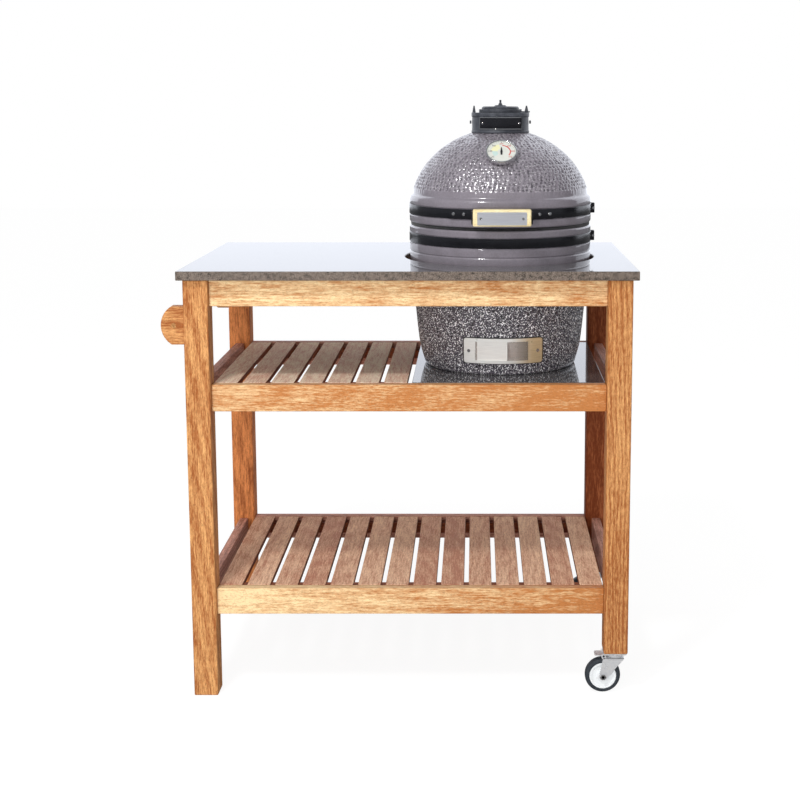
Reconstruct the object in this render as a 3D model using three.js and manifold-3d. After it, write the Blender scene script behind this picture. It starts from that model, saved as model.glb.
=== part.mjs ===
// A kamado grill table: a hardwood table on two posts and two castors, with a stone worktop, two shelves
// and a push bar, and a ceramic kamado grill that stands on the middle shelf and rises through the worktop.
// Millimetres, +Z up, the front towards -Y, standing on the floor at Z = 0.
import * as THREE from "three";
import { ConvexGeometry } from "three/addons/geometries/ConvexGeometry.js";
import { mergeVertices } from "three/addons/utils/BufferGeometryUtils.js";
import Module from "manifold-3d";

// Driving dimensions of the table
const worktopWidth = 1000;
const worktopDepth = 620;
const worktopHeight = 965;
const slabThickness = 20;
const slabOverhang = 12;
const postSide = 54;
const railHeight = 60;
const railThickness = 22;
const railSetback = 16;
const lowShelfHeight = 246;
const castorHeight = 97;

// Driving dimensions of the grill
const grillToPost = 17;
const rimOverWorktop = 77;
const kamadoRadius = 213;
const baseHeight = 331;
const gasketThickness = 3.5;
const domeRise = 194;
const shellWall = 22;
const bandHeight = 22;
const bandThickness = 2.7;

// Clearances and working values
const seatGap = 0.3;
const cutOverrun = 4;
const weldDistance = 0.001;
const shellSides = 48;
const innerSides = 24;
const smallSides = 12;

// Heights and reaches that follow from the driving dimensions
const underSlab = worktopHeight - slabThickness;
const midShelfHeight = worktopHeight + rimOverWorktop - baseHeight;
const postReachX = worktopWidth / 2 - slabOverhang;
const postReachY = worktopDepth / 2 - slabOverhang;
const postInnerX = postReachX - postSide;
const postInnerY = postReachY - postSide;
const railInnerX = postReachX - railSetback - railThickness;
const railInnerY = postReachY - railSetback - railThickness;
const kamadoX = postInnerX - grillToPost - kamadoRadius;

const finishes = {
  frameWood: { color: 0xc88a50, roughness: 0.55, metalness: 0 },
  slatWood: { color: 0x9a7060, roughness: 0.6, metalness: 0 },
  stone: { color: 0x5c5550, roughness: 0.15, metalness: 0 },
  glaze: { color: 0x736a70, roughness: 0.3, metalness: 0 },
  fireclay: { color: 0xb8a58c, roughness: 0.9, metalness: 0 },
  felt: { color: 0x1c1b1d, roughness: 1, metalness: 0 },
  bandSteel: { color: 0x17181b, roughness: 0.25, metalness: 0.6 },
  castIron: { color: 0x303235, roughness: 0.6, metalness: 0.5 },
  stainless: { color: 0xc8c6c0, roughness: 0.3, metalness: 1 },
  zinc: { color: 0xd2d5d9, roughness: 0.3, metalness: 1 },
  tyre: { color: 0x4a4d52, roughness: 0.8, metalness: 0 },
  bamboo: { color: 0xead48e, roughness: 0.5, metalness: 0 },
  dial: { color: 0xeeebe2, roughness: 0.3, metalness: 0.2 },
  pointer: { color: 0x111111, roughness: 0.5, metalness: 0 },
};

const wasm = await Module();
wasm.setup();

// A closed geometry as a solid that can be cut and joined
function solid(geometry) {
  const bare = geometry.index ? geometry.toNonIndexed() : geometry.clone();
  bare.deleteAttribute("normal");
  bare.deleteAttribute("uv");
  const welded = mergeVertices(bare, weldDistance);
  const corners = welded.index.array;
  const faces = [];
  for (let i = 0; i < corners.length; i += 3) {
    const [a, b, c] = corners.slice(i, i + 3);
    if (a !== b && b !== c && c !== a) faces.push(a, b, c);
  }
  const vertProperties = welded.attributes.position.array;
  const build = (order) =>
    new wasm.Manifold(new wasm.Mesh({ numProp: 3, vertProperties, triVerts: new Uint32Array(order) }));
  const made = build(faces);
  return made.volume() > 0 ? made : build(faces.toReversed());
}

function join(...bodies) {
  return bodies.reduce((all, body) => all.add(body));
}

function cut(body, ...tools) {
  return tools.reduce((left, tool) => left.subtract(tool), body);
}

// Adds a solid to a group as a named mesh
function piece(parent, name, body, finish, place = [0, 0, 0]) {
  const { vertProperties, triVerts } = body.getMesh();
  const geometry = new THREE.BufferGeometry();
  geometry.setAttribute("position", new THREE.BufferAttribute(vertProperties, 3));
  geometry.setIndex(new THREE.BufferAttribute(triVerts, 1));
  geometry.computeVertexNormals();
  const mesh = new THREE.Mesh(geometry, new THREE.MeshStandardMaterial(finish));
  mesh.name = name;
  mesh.position.set(...place);
  parent.add(mesh);
  return mesh;
}

// A box between two corners
function block([x0, x1], [y0, y1], [z0, z1]) {
  const box = new THREE.BoxGeometry(x1 - x0, y1 - y0, z1 - z0);
  return solid(box.translate((x0 + x1) / 2, (y0 + y1) / 2, (z0 + z1) / 2));
}

// A box about the origin with its edges chamfered
function easedBox(width, depth, height, chamfer) {
  const points = [];
  for (const sx of [-1, 1]) {
    for (const sy of [-1, 1]) {
      for (const sz of [-1, 1]) {
        const [x, y, z] = [(sx * width) / 2, (sy * depth) / 2, (sz * height) / 2];
        points.push(new THREE.Vector3(x, y - sy * chamfer, z - sz * chamfer));
        points.push(new THREE.Vector3(x - sx * chamfer, y, z - sz * chamfer));
        points.push(new THREE.Vector3(x - sx * chamfer, y - sy * chamfer, z));
      }
    }
  }
  return new ConvexGeometry(points);
}

function easedBlock([x0, x1], [y0, y1], [z0, z1], chamfer) {
  const box = easedBox(x1 - x0, y1 - y0, z1 - z0, chamfer);
  return solid(box.translate((x0 + x1) / 2, (y0 + y1) / 2, (z0 + z1) / 2));
}

// A chamfered board between two corners, as a mesh placed at its middle
function board(parent, name, [x0, x1], [y0, y1], [z0, z1], chamfer, finish) {
  const body = solid(easedBox(x1 - x0, y1 - y0, z1 - z0, chamfer));
  return piece(parent, name, body, finish, [(x0 + x1) / 2, (y0 + y1) / 2, (z0 + z1) / 2]);
}

// A solid of revolution about Z, from [radius, height] points that end on the axis or make a loop
function revolve(outline, sides) {
  const points = outline.map(([radius, height]) => new THREE.Vector2(radius, height));
  if (outline[0][0] > 0) points.push(points[0].clone());
  return solid(new THREE.LatheGeometry(points, sides).rotateX(Math.PI / 2));
}

// A rod along Z between two heights
function rod(radius, bottom, top, sides = smallSides) {
  return revolve([[0, bottom], [radius, bottom], [radius, top], [0, top]], sides);
}

// A plain ring about Z
function hoop([inner, outer], [bottom, top], sides = shellSides) {
  return revolve([[inner, bottom], [outer, bottom], [outer, top], [inner, top]], sides);
}

// Two values in rising order
function rising(a, b) {
  return [Math.min(a, b), Math.max(a, b)];
}

// A rod along X or Y between two places on its own line
function crossRod(axis, radius, start, end, [x, y, z], sides = smallSides) {
  const drum = new THREE.CylinderGeometry(radius, radius, end - start, sides);
  if (axis === "x") drum.rotateZ(Math.PI / 2).translate((start + end) / 2, 0, 0);
  if (axis === "y") drum.translate(0, (start + end) / 2, 0);
  return solid(drum.translate(x, y, z));
}

// A plate of [y, z] corners between two places on X
function sidePlate(corners, x0, x1) {
  const points = corners.flatMap(([y, z]) => [new THREE.Vector3(x0, y, z), new THREE.Vector3(x1, y, z)]);
  return solid(new ConvexGeometry(points));
}

// Points on a circle, for the rounded end of a plate
function circlePoints(radius, [a, b], count = smallSides) {
  return Array.from({ length: count }, (_, i) => {
    const turn = (i / count) * 2 * Math.PI;
    return [a + radius * Math.cos(turn), b + radius * Math.sin(turn)];
  });
}

// The radius of an outline at a height
function radiusAt(outline, height) {
  const i = outline.findIndex(([, z], k) => k > 0 && z >= height);
  const [[r0, z0], [r1, z1]] = [outline[i - 1], outline[i]];
  return r0 + ((r1 - r0) * (height - z0)) / (z1 - z0);
}

// A ring that follows an outline between two heights, from one distance outside it to another
function sleeve(outline, bottom, top, inner, outer) {
  const bends = outline.map(([, z]) => z).filter((z) => z > bottom && z < top);
  const heights = [bottom, ...bends, top];
  const up = heights.map((z) => [radiusAt(outline, z) + outer, z]);
  const down = heights.toReversed().map((z) => [radiusAt(outline, z) + inner, z]);
  return revolve([...up, ...down], shellSides);
}

// The group stands so that the middle of its whole width, push bar included, is at X = 0
const bracketReach = 52;
const kamadoGrillTable = new THREE.Group();
const table = new THREE.Group();
table.position.x = (bracketReach - slabOverhang) / 2;
kamadoGrillTable.add(table);

// Stone worktop with the hole that the grill comes up through
const holeGap = 9.5;
const holeShift = -2;
const slabArris = 1.5;
const holeRadius = kamadoRadius + holeGap;
{
  const outline = new THREE.Shape();
  const [x, y] = [worktopWidth / 2 - slabArris, worktopDepth / 2 - slabArris];
  outline.moveTo(-x, -y).lineTo(x, -y).lineTo(x, y).lineTo(-x, y).closePath();
  const hole = new THREE.Path();
  hole.absarc(kamadoX + holeShift, 0, holeRadius + slabArris, 0, 2 * Math.PI, true);
  outline.holes.push(hole);
  const slab = new THREE.ExtrudeGeometry(outline, {
    depth: slabThickness - 2 * slabArris,
    bevelThickness: slabArris,
    bevelSize: slabArris,
    bevelSegments: 1,
    curveSegments: shellSides / 2,
  });
  piece(table, "worktop_slab", solid(slab), finishes.stone, [0, 0, underSlab + slabArris]);
}

// Posts: the left ones reach the floor and the right ones stand on castors
const postChamfer = 2.5;
for (const [side, sx] of [["left", -1], ["right", 1]]) {
  for (const [end, sy] of [["front", -1], ["rear", 1]]) {
    const foot = side === "left" ? 0 : castorHeight;
    const xs = rising(sx * postReachX, sx * postInnerX);
    const ys = rising(sy * postReachY, sy * postInnerY);
    board(table, `post_${end}_${side}`, xs, ys, [foot, underSlab], postChamfer, finishes.frameWood);
  }
}

// Three rings of rails between the posts
const railChamfer = 1.5;
const railLevels = { apron: underSlab, mid_rail: midShelfHeight, low_rail: lowShelfHeight };
for (const [level, top] of Object.entries(railLevels)) {
  const spanX = [-postInnerX, postInnerX];
  const spanY = [-postInnerY, postInnerY];
  const heights = [top - railHeight, top];
  const outX = railInnerX + railThickness;
  const outY = railInnerY + railThickness;
  board(table, `${level}_front`, spanX, [-outY, -railInnerY], heights, railChamfer, finishes.frameWood);
  board(table, `${level}_rear`, spanX, [railInnerY, outY], heights, railChamfer, finishes.frameWood);
  board(table, `${level}_left`, [-outX, -railInnerX], spanY, heights, railChamfer, finishes.frameWood);
  board(table, `${level}_right`, [railInnerX, outX], spanY, heights, railChamfer, finishes.frameWood);
}

// Slatted decks: slats let into battens that are screwed to the rails
const slatCount = 14;
const slatGap = 10.615;
const slatThickness = 20;
const slatChamfer = 2;
const slatEndGap = 3;
const deckSideGap = 17;
const battenWidth = 22;
const battenHeight = 20;
const slatLetIn = 1;
const bearerWidth = 30;
const bearerHeight = 34;
const bearerSpread = 238;
const deckHalf = railInnerX - deckSideGap;
const slatWidth = (2 * deckHalf - (slatCount - 1) * slatGap) / slatCount;
const slatPitch = slatWidth + slatGap;
const slatReach = railInnerY - slatEndGap;

function slats(count, top) {
  return Array.from({ length: count }, (_, i) => {
    const left = -deckHalf + i * slatPitch;
    const heights = [top - slatThickness, top];
    return easedBlock([left, left + slatWidth], [-slatReach, slatReach], heights, slatChamfer);
  });
}

function batten(sy, top, height) {
  const inner = railInnerY - battenWidth;
  const ys = rising(sy * railInnerY, sy * inner);
  return block([-deckHalf, deckHalf], ys, [top - height, top]);
}

const midBattenTop = midShelfHeight - slatThickness + slatLetIn;
const lowBattenTop = lowShelfHeight - slatThickness + slatLetIn;
const bearerReach = railInnerY - battenWidth;
const bearers = [-1, 1].map((sx) => {
  const middle = kamadoX + (sx * bearerSpread) / 2;
  const xs = [middle - bearerWidth / 2, middle + bearerWidth / 2];
  return block(xs, [-bearerReach, bearerReach], [midBattenTop - bearerHeight, midBattenTop]);
});
const midBattens = [batten(-1, midBattenTop, battenHeight), batten(1, midBattenTop, battenHeight)];
const midDeck = join(...midBattens, ...bearers, ...slats(slatCount / 2, midShelfHeight));
piece(table, "mid_deck", midDeck, finishes.slatWood);

const lowBattens = [batten(-1, lowBattenTop, battenHeight), batten(1, lowBattenTop, battenHeight)];
const lowDeck = join(...lowBattens, ...slats(slatCount, lowShelfHeight));
piece(table, "low_deck", lowDeck, finishes.slatWood);

// Stone hearth slab that carries the grill, beside the middle slats
const hearthArris = 1;
const hearthXs = [-deckHalf + (slatCount / 2) * slatPitch, deckHalf];
const hearthHeights = [midBattenTop, midShelfHeight];
board(table, "hearth_slab", hearthXs, [-slatReach, slatReach], hearthHeights, hearthArris, finishes.stone);

// Push bar on two round-ended brackets on the outer faces of the left posts
const bracketHeight = 84;
const bracketStraight = 29;
const bracketThickness = 30;
const barRadius = 14;
const barReach = 24;
const tenonRadius = 7;
const barMiddleY = postReachY - postSide / 2;
const bracketTop = underSlab - railHeight;
const barZ = bracketTop - bracketHeight / 2;
{
  const sagitta = bracketReach - bracketStraight;
  const roundRadius = ((bracketHeight / 2) ** 2 + sagitta ** 2) / (2 * sagitta);
  const roundAngle = Math.asin(bracketHeight / 2 / roundRadius);
  const outline = new THREE.Shape();
  outline.moveTo(0, -bracketHeight / 2);
  outline.lineTo(bracketStraight, -bracketHeight / 2);
  outline.absarc(bracketReach - roundRadius, 0, roundRadius, -roundAngle, roundAngle);
  outline.lineTo(0, bracketHeight / 2);
  outline.closePath();
  const bore = new THREE.Path();
  bore.absarc(barReach, 0, tenonRadius + seatGap, 0, 2 * Math.PI, true);
  outline.holes.push(bore);
  const plank = { depth: bracketThickness, bevelEnabled: false, curveSegments: smallSides };
  const bracket = solid(
    new THREE.ExtrudeGeometry(outline, plank)
      .translate(0, 0, -bracketThickness / 2)
      .rotateX(Math.PI / 2)
      .rotateZ(Math.PI),
  );
  piece(table, "handle_bracket_front", bracket, finishes.frameWood, [-postReachX, -barMiddleY, barZ]);
  piece(table, "handle_bracket_rear", bracket, finishes.frameWood, [-postReachX, barMiddleY, barZ]);
  const barHalf = barMiddleY - bracketThickness / 2;
  const tenonEnd = barMiddleY + bracketThickness / 2;
  const middle = [0, 0, 0];
  const bar = crossRod("y", barRadius, -barHalf, barHalf, middle);
  const tenon = crossRod("y", tenonRadius, -tenonEnd, tenonEnd, middle);
  piece(table, "push_bar", join(bar, tenon), finishes.frameWood, [-postReachX - barReach, 0, barZ]);
}

// Castors with a swivel race, a fork, a wheel and a foot brake, drawn with the wheel trailing towards -X
const wheelRadius = 40;
const wheelWidth = 24;
const wheelSides = 20;
const castorTrail = 27;
const axleRadius = 4;
const axleHeadRadius = 7;
const axleHeadThickness = 4;
const mountSide = 50;
const mountThickness = 3;
const raceRadius = 20;
const crownThickness = 3;
const crownGap = 1.5;
const legThickness = 2.5;
const legGap = 2;
const legEndRadius = 9;
const brakeRadius = 3;
const brakeTrail = 26;
const brakeThickness = 2;
const brakeLength = 20;
const brakeLift = 3.5;
const legInner = wheelWidth / 2 + legGap;
const legOuter = legInner + legThickness;
const crownBottom = 2 * wheelRadius + crownGap;
const crownTop = crownBottom + crownThickness;
const brakeZ = crownTop + brakeLift;
const wheelHubRadius = 13;
const rimRadius = 27;
const rimRecess = 4;
const tyreShoulder = 4;

function castorWheel() {
  const half = wheelWidth / 2;
  const outline = [
    [axleRadius + seatGap, -half],
    [wheelHubRadius, -half],
    [wheelHubRadius, -half + rimRecess],
    [rimRadius, -half + rimRecess],
    [rimRadius, -half],
    [wheelRadius - tyreShoulder, -half],
    [wheelRadius, -half + tyreShoulder],
  ];
  const mirrored = outline.toReversed().map(([radius, y]) => [radius, -y]);
  const points = [...outline, ...mirrored, outline[0]].map(([radius, y]) => new THREE.Vector2(radius, y));
  return solid(new THREE.LatheGeometry(points, wheelSides));
}

function castorLeg(sy) {
  const axleEnd = circlePoints(legEndRadius, [-castorTrail, wheelRadius], smallSides);
  const corners = [...axleEnd, [-castorTrail, crownTop], [raceRadius, crownTop], [raceRadius, crownBottom]];
  const ys = [sy * legInner, sy * legOuter];
  const points = corners.flatMap(([x, z]) => ys.map((y) => new THREE.Vector3(x, y, z)));
  return solid(new ConvexGeometry(points));
}

function castorFork() {
  const crown = block([-castorTrail, raceRadius], [-legOuter, legOuter], [crownBottom, crownTop]);
  const ears = [-1, 1].map((sy) => {
    const points = circlePoints(brakeRadius + legThickness, [-brakeTrail, brakeZ], smallSides);
    points.push([-brakeTrail - brakeRadius, crownBottom], [-brakeTrail + brakeRadius, crownBottom]);
    const ys = [sy * legInner, sy * legOuter];
    const corners = points.flatMap(([x, z]) => ys.map((y) => new THREE.Vector3(x, y, z)));
    return solid(new ConvexGeometry(corners));
  });
  const body = join(crown, castorLeg(-1), castorLeg(1), ...ears);
  const reach = legOuter + cutOverrun;
  const axleHole = crossRod("y", axleRadius + seatGap, -reach, reach, [-castorTrail, 0, wheelRadius]);
  const brakeHole = crossRod("y", brakeRadius + seatGap, -reach, reach, [-brakeTrail, 0, brakeZ]);
  return cut(body, axleHole, brakeHole);
}

function castorBrake() {
  const hinge = [-brakeTrail, 0, brakeZ];
  const pin = crossRod("y", brakeRadius, -legOuter, legOuter, hinge);
  const half = legInner - seatGap;
  const pedalXs = [-brakeTrail - brakeLength, -brakeTrail];
  const pedal = block(pedalXs, [-half, half], [brakeZ, brakeZ + brakeThickness]);
  return join(pin, pedal);
}

for (const [end, sy] of [["front", -1], ["rear", 1]]) {
  const castor = new THREE.Group();
  castor.position.set(postReachX - postSide / 2, sy * (postReachY - postSide / 2), 0);
  table.add(castor);
  const plateBottom = castorHeight - mountThickness;
  const half = mountSide / 2;
  const plate = block([-half, half], [-half, half], [plateBottom, castorHeight]);
  const race = rod(raceRadius, crownTop + seatGap, castorHeight - mountThickness / 2, innerSides);
  piece(castor, `castor_${end}_mount`, join(plate, race), finishes.zinc);
  piece(castor, `castor_${end}_fork`, castorFork(), finishes.zinc);
  piece(castor, `castor_${end}_wheel`, castorWheel(), finishes.tyre, [-castorTrail, 0, wheelRadius]);
  const headEnd = legOuter + seatGap + axleHeadThickness;
  const axle = join(
    crossRod("y", axleRadius, -headEnd, headEnd, [0, 0, 0]),
    crossRod("y", axleHeadRadius, -headEnd, -legOuter - seatGap, [0, 0, 0], 6),
    crossRod("y", axleHeadRadius, legOuter + seatGap, headEnd, [0, 0, 0], 6),
  );
  piece(castor, `castor_${end}_axle`, axle, finishes.zinc, [-castorTrail, 0, wheelRadius]);
  piece(castor, `castor_${end}_brake`, castorBrake(), finishes.zinc);
}

// The grill stands on the hearth slab; its heights count from there
const kamado = new THREE.Group();
kamado.position.set(kamadoX, 0, midShelfHeight);
table.add(kamado);
const splitHeight = baseHeight + gasketThickness;
const domeBottom = baseHeight + 2 * gasketThickness;

// Base shell: a bowl that swells up to a straight collar at the rim, with a draft hole low in front
const collarHeight = 256;
const baseFloor = 30;
const baseShares = [
  [0.808, 0],
  [0.84, 0.02],
  [0.888, 0.168],
  [0.912, 0.3],
  [0.936, 0.5],
  [0.97, 0.76],
  [1, 1],
];
const baseOutline = [
  ...baseShares.map(([r, z]) => [r * kamadoRadius, z * collarHeight]),
  [kamadoRadius, baseHeight],
];
const ventHeight = 59;
const ventBottom = 29;
const ventWidth = 178;
const ventMiddleX = 4.6;
const draftHoleWidth = 104;
const draftHoleHeight = 40;
const ventMiddleZ = ventBottom + ventHeight / 2;
const ventXs = (width) => [ventMiddleX - width / 2, ventMiddleX + width / 2];
const ventZs = (height) => [ventMiddleZ - height / 2, ventMiddleZ + height / 2];
const frontYs = [-kamadoRadius - shellWall, -kamadoRadius / 2];
{
  const hollow = baseOutline
    .filter(([, z], i) => z > baseFloor && i % 2 === 1)
    .map(([r, z]) => [r - shellWall, z])
    .toReversed();
  const floorRadius = radiusAt(baseOutline, baseFloor) - 2 * shellWall;
  const floor = [[floorRadius, baseFloor], [0, baseFloor]];
  const bowl = revolve([[0, 0], ...baseOutline, ...hollow, ...floor], shellSides);
  const draftHole = block(ventXs(draftHoleWidth), frontYs, ventZs(draftHoleHeight));
  piece(kamado, "base_shell", cut(bowl, draftHole), finishes.glaze);
}

// Dome shell: half of an ellipsoid over a short straight rim, with a neck for the chimney cap
const domeStraight = 21;
const neckRadius = 55;
const neckWall = 10;
const neckHeight = 20;
const domeSteps = 8;
const domeMiddle = domeBottom + domeStraight;
const domeHeightAt = (radius) => domeMiddle + domeRise * Math.sqrt(1 - (radius / kamadoRadius) ** 2);
const neckTop = domeHeightAt(neckRadius) + neckHeight;

// Points up an ellipse from its middle height to where it meets a radius
function ellipseRise(radius, rise, endRadius, steps) {
  const end = Math.acos(endRadius / radius);
  return Array.from({ length: steps + 1 }, (_, i) => {
    const turn = (end * i) / steps;
    return [radius * Math.cos(turn), domeMiddle + rise * Math.sin(turn)];
  });
}

// Thermometer: a dial on the front of the dome, square to its surface, with a probe through the wall
const dialRadius = 35.2;
const dialDepth = 14;
const dialRecess = 2.5;
const dialRim = 3;
const dialBackRadius = 20;
const dialBackSlope = 5;
const dialRiseShare = 0.708;
const dialHeight = domeMiddle + dialRiseShare * domeRise;
const probeRadius = 3.5;
const probeLength = 60;
const probeGap = 1;
const dialSeatRadius = kamadoRadius * Math.sqrt(1 - ((dialHeight - domeMiddle) / domeRise) ** 2);
const dialSlope = Math.atan2((dialHeight - domeMiddle) / domeRise ** 2, dialSeatRadius / kamadoRadius ** 2);
const dialMount = new THREE.Group();
dialMount.position.set(0, -dialSeatRadius, dialHeight);
dialMount.rotation.x = Math.PI / 2 - dialSlope;
kamado.add(dialMount);
{
  const faceTop = dialDepth - dialRecess;
  const outline = [
    [0, -probeLength],
    [probeRadius, -probeLength],
    [probeRadius, seatGap],
    [dialBackRadius, seatGap],
    [dialRadius, dialBackSlope],
    [dialRadius, dialDepth],
    [dialRadius - dialRim, dialDepth],
    [dialRadius - dialRim, faceTop],
    [0, faceTop],
  ];
  piece(dialMount, "thermometer", revolve(outline, innerSides), finishes.dial);
  const pointerLength = 24;
  const pointerTail = 9;
  const pointerWidth = 4;
  const pointerThickness = 0.8;
  const pointerHub = 4;
  const pointerZs = [faceTop + seatGap, faceTop + seatGap + pointerThickness];
  const tip = pointerZs.flatMap((z) => [
    new THREE.Vector3(0, pointerLength, z),
    new THREE.Vector3(-pointerWidth / 2, 0, z),
    new THREE.Vector3(pointerWidth / 2, 0, z),
    new THREE.Vector3(0, -pointerTail, z),
  ]);
  const pointer = join(solid(new ConvexGeometry(tip)), rod(pointerHub, ...pointerZs));
  piece(dialMount, "thermometer_needle", pointer, finishes.pointer);
}

{
  const [innerRadius, innerRise] = [kamadoRadius - shellWall, domeRise - shellWall];
  const outside = ellipseRise(kamadoRadius, domeRise, neckRadius, domeSteps);
  const inside = ellipseRise(innerRadius, innerRise, neckRadius - neckWall, domeSteps / 2).toReversed();
  const outline = [
    [innerRadius, domeBottom],
    [kamadoRadius, domeBottom],
    ...outside,
    [neckRadius, neckTop],
    [neckRadius - neckWall, neckTop],
    ...inside,
  ];
  const probeHole = solid(
    new THREE.CylinderGeometry(probeRadius + probeGap, probeRadius + probeGap, probeLength, smallSides)
      .rotateX(Math.PI / 2)
      .rotateX(dialMount.rotation.x)
      .translate(...dialMount.position.toArray()),
  );
  piece(kamado, "dome_shell", cut(revolve(outline, shellSides), probeHole), finishes.glaze);
}

// Felt gaskets on both rims
const gasketInset = 3;
for (const [name, bottom] of [["lower_gasket", baseHeight], ["upper_gasket", splitHeight]]) {
  const [outer, inner] = [kamadoRadius - gasketInset, kamadoRadius - shellWall + gasketInset];
  const [low, high] = name === "lower_gasket" ? [0, -seatGap / 2] : [seatGap / 2, 0];
  const heights = [bottom + low, bottom + gasketThickness + high];
  piece(kamado, name, hoop([inner, outer], heights), finishes.felt);
}

// Steel bands round both shells, each drawn up by a bolt through two ears on the right
const lowerBandDrop = 17;
const upperBandLift = 19;
const lowerBandBottom = baseHeight - lowerBandDrop - bandHeight;
const upperBandBottom = domeBottom + upperBandLift;
const bandInner = kamadoRadius + seatGap;
const bandOuter = bandInner + bandThickness;
const earThickness = 4;
const earGap = 8;
const earReach = 7.5;
const earOverhang = 3;
const clampBoltRadius = 1.5;
const clampHeadRadius = 3.2;
const clampHeadThickness = 3;
const earInner = earGap / 2;
const earOuter = earInner + earThickness;
const clampX = bandOuter + clampHeadRadius + seatGap;
for (const [name, bottom] of [["lower_band", lowerBandBottom], ["upper_band", upperBandBottom]]) {
  const heights = [bottom, bottom + bandHeight];
  const [low, high] = heights;
  const ring = hoop([bandInner, bandOuter], heights);
  const earHeights = [low - earOverhang, high + earOverhang];
  const earEnd = bandOuter + earReach;
  const slit = block([kamadoRadius / 2, earEnd + cutOverrun], [-earInner, earInner], earHeights);
  const ears = [-1, 1].map((sy) => {
    const ys = rising(sy * earInner, sy * earOuter);
    return block([bandInner + bandThickness / 2, earEnd], ys, earHeights);
  });
  const boltPlace = [clampX, 0, bottom + bandHeight / 2];
  const reach = earOuter + cutOverrun;
  const boltHole = crossRod("y", clampBoltRadius + seatGap, -reach, reach, boltPlace);
  piece(kamado, name, cut(join(ring, ...ears), slit, boltHole), finishes.bandSteel);
  const headStart = earOuter + seatGap;
  const headEnd = headStart + clampHeadThickness;
  const bolt = join(
    crossRod("y", clampBoltRadius, -headEnd, headEnd, [0, 0, 0], smallSides),
    crossRod("y", clampHeadRadius, -headEnd, -headStart, [0, 0, 0], 6),
    crossRod("y", clampHeadRadius, headStart, headEnd, [0, 0, 0], 6),
  );
  piece(kamado, `${name}_bolt`, bolt, finishes.bandSteel, boltPlace);
}

// Lid handle: a bamboo block on two arms from the upper band
const handleWidth = 127.5;
const handleDepth = 26;
const handleHeight = 37;
const handleFinger = 20;
const handleDrop = 3.5;
const handleChamfer = 3;
const armThickness = 3;
const armPadThickness = 3;
const armPadEnd = 118;
const armHeight = 28;
const handleBackY = -bandOuter - handleFinger;
const handleFrontY = handleBackY - handleDepth;
const handleMiddleZ = upperBandBottom + bandHeight / 2 - handleDrop;
{
  const place = [0, (handleBackY + handleFrontY) / 2, handleMiddleZ];
  const body = solid(easedBox(handleWidth, handleDepth, handleHeight, handleChamfer));
  piece(kamado, "lid_handle", body, finishes.bamboo, place);
}
for (const [side, sx] of [["left", -1], ["right", 1]]) {
  const ringInner = bandOuter + seatGap;
  const ringOuter = ringInner + armPadThickness;
  const heights = [upperBandBottom, upperBandBottom + bandHeight];
  const [low, high] = heights;
  const ring = hoop([ringInner, ringOuter], heights);
  const armStart = handleWidth / 2 + seatGap;
  const padXs = rising(sx * armStart, sx * armPadEnd);
  const pad = ring.intersect(block(padXs, frontYs, [low - cutOverrun, high + cutOverrun]));
  const armXs = rising(sx * armStart, sx * (armStart + armThickness));
  const armBackY = -Math.sqrt(ringInner ** 2 - armStart ** 2) - armPadThickness / 2;
  const armZs = [handleMiddleZ - armHeight / 2, handleMiddleZ + armHeight / 2];
  const arm = block(armXs, [handleFrontY + handleChamfer, armBackY], armZs);
  piece(kamado, `handle_arm_${side}`, join(pad, arm), finishes.bandSteel);
}

// Rear hinge: two brackets on the bands, a pin through their cheeks and a torsion spring on the pin
const hingeStandOff = 29;
const saddleThickness = 6;
const saddleWidth = 92;
const cheekThickness = 4;
const cheekEndRadius = 10;
const cheekDepth = 10;
const lowerCheekX = 38;
const upperCheekX = 31;
const springCheekX = -24;
const hingePinRadius = 4;
const hingeHeadRadius = 7;
const hingeHeadThickness = 4;
const hingeY = kamadoRadius + hingeStandOff;
const hingePlace = [0, hingeY, splitHeight];
const hingeHole = crossRod("x", hingePinRadius + seatGap, -saddleWidth, saddleWidth, hingePlace);

function hingeBracket(bandBottom, cheeks) {
  const ringInner = bandOuter + seatGap;
  const ringOuter = ringInner + saddleThickness;
  const heights = [bandBottom, bandBottom + bandHeight];
  const [low, high] = heights;
  const ring = hoop([ringInner, ringOuter], heights);
  const rearYs = [kamadoRadius / 2, kamadoRadius + cutOverrun + saddleThickness];
  const sides = [-saddleWidth / 2, saddleWidth / 2];
  const saddle = ring.intersect(block(sides, rearYs, [low - cutOverrun, high + cutOverrun]));
  const rootY = ringInner - seatGap;
  const corners = [
    [rootY, low],
    [rootY + cheekDepth, low],
    [rootY, high],
    [rootY + cheekDepth, high],
    ...circlePoints(cheekEndRadius, [hingeY, splitHeight]),
  ];
  const plates = cheeks.map((x) => sidePlate(corners, x, x + cheekThickness));
  return cut(join(saddle, ...plates), hingeHole);
}

const lowerCheeks = [lowerCheekX, -lowerCheekX - cheekThickness, springCheekX];
const upperCheeks = [upperCheekX, -upperCheekX - cheekThickness];
piece(kamado, "hinge_lower_bracket", hingeBracket(lowerBandBottom, lowerCheeks), finishes.bandSteel);
piece(kamado, "hinge_upper_bracket", hingeBracket(upperBandBottom, upperCheeks), finishes.bandSteel);
{
  const headStart = lowerCheekX + cheekThickness + seatGap;
  const headEnd = headStart + hingeHeadThickness;
  const middle = [0, 0, 0];
  const pin = join(
    crossRod("x", hingePinRadius, -headEnd, headEnd, middle),
    crossRod("x", hingeHeadRadius, -headEnd, -headStart, middle),
    crossRod("x", hingeHeadRadius, headStart, headEnd, middle),
  );
  piece(kamado, "hinge_pin", pin, finishes.zinc, hingePlace);
}

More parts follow.
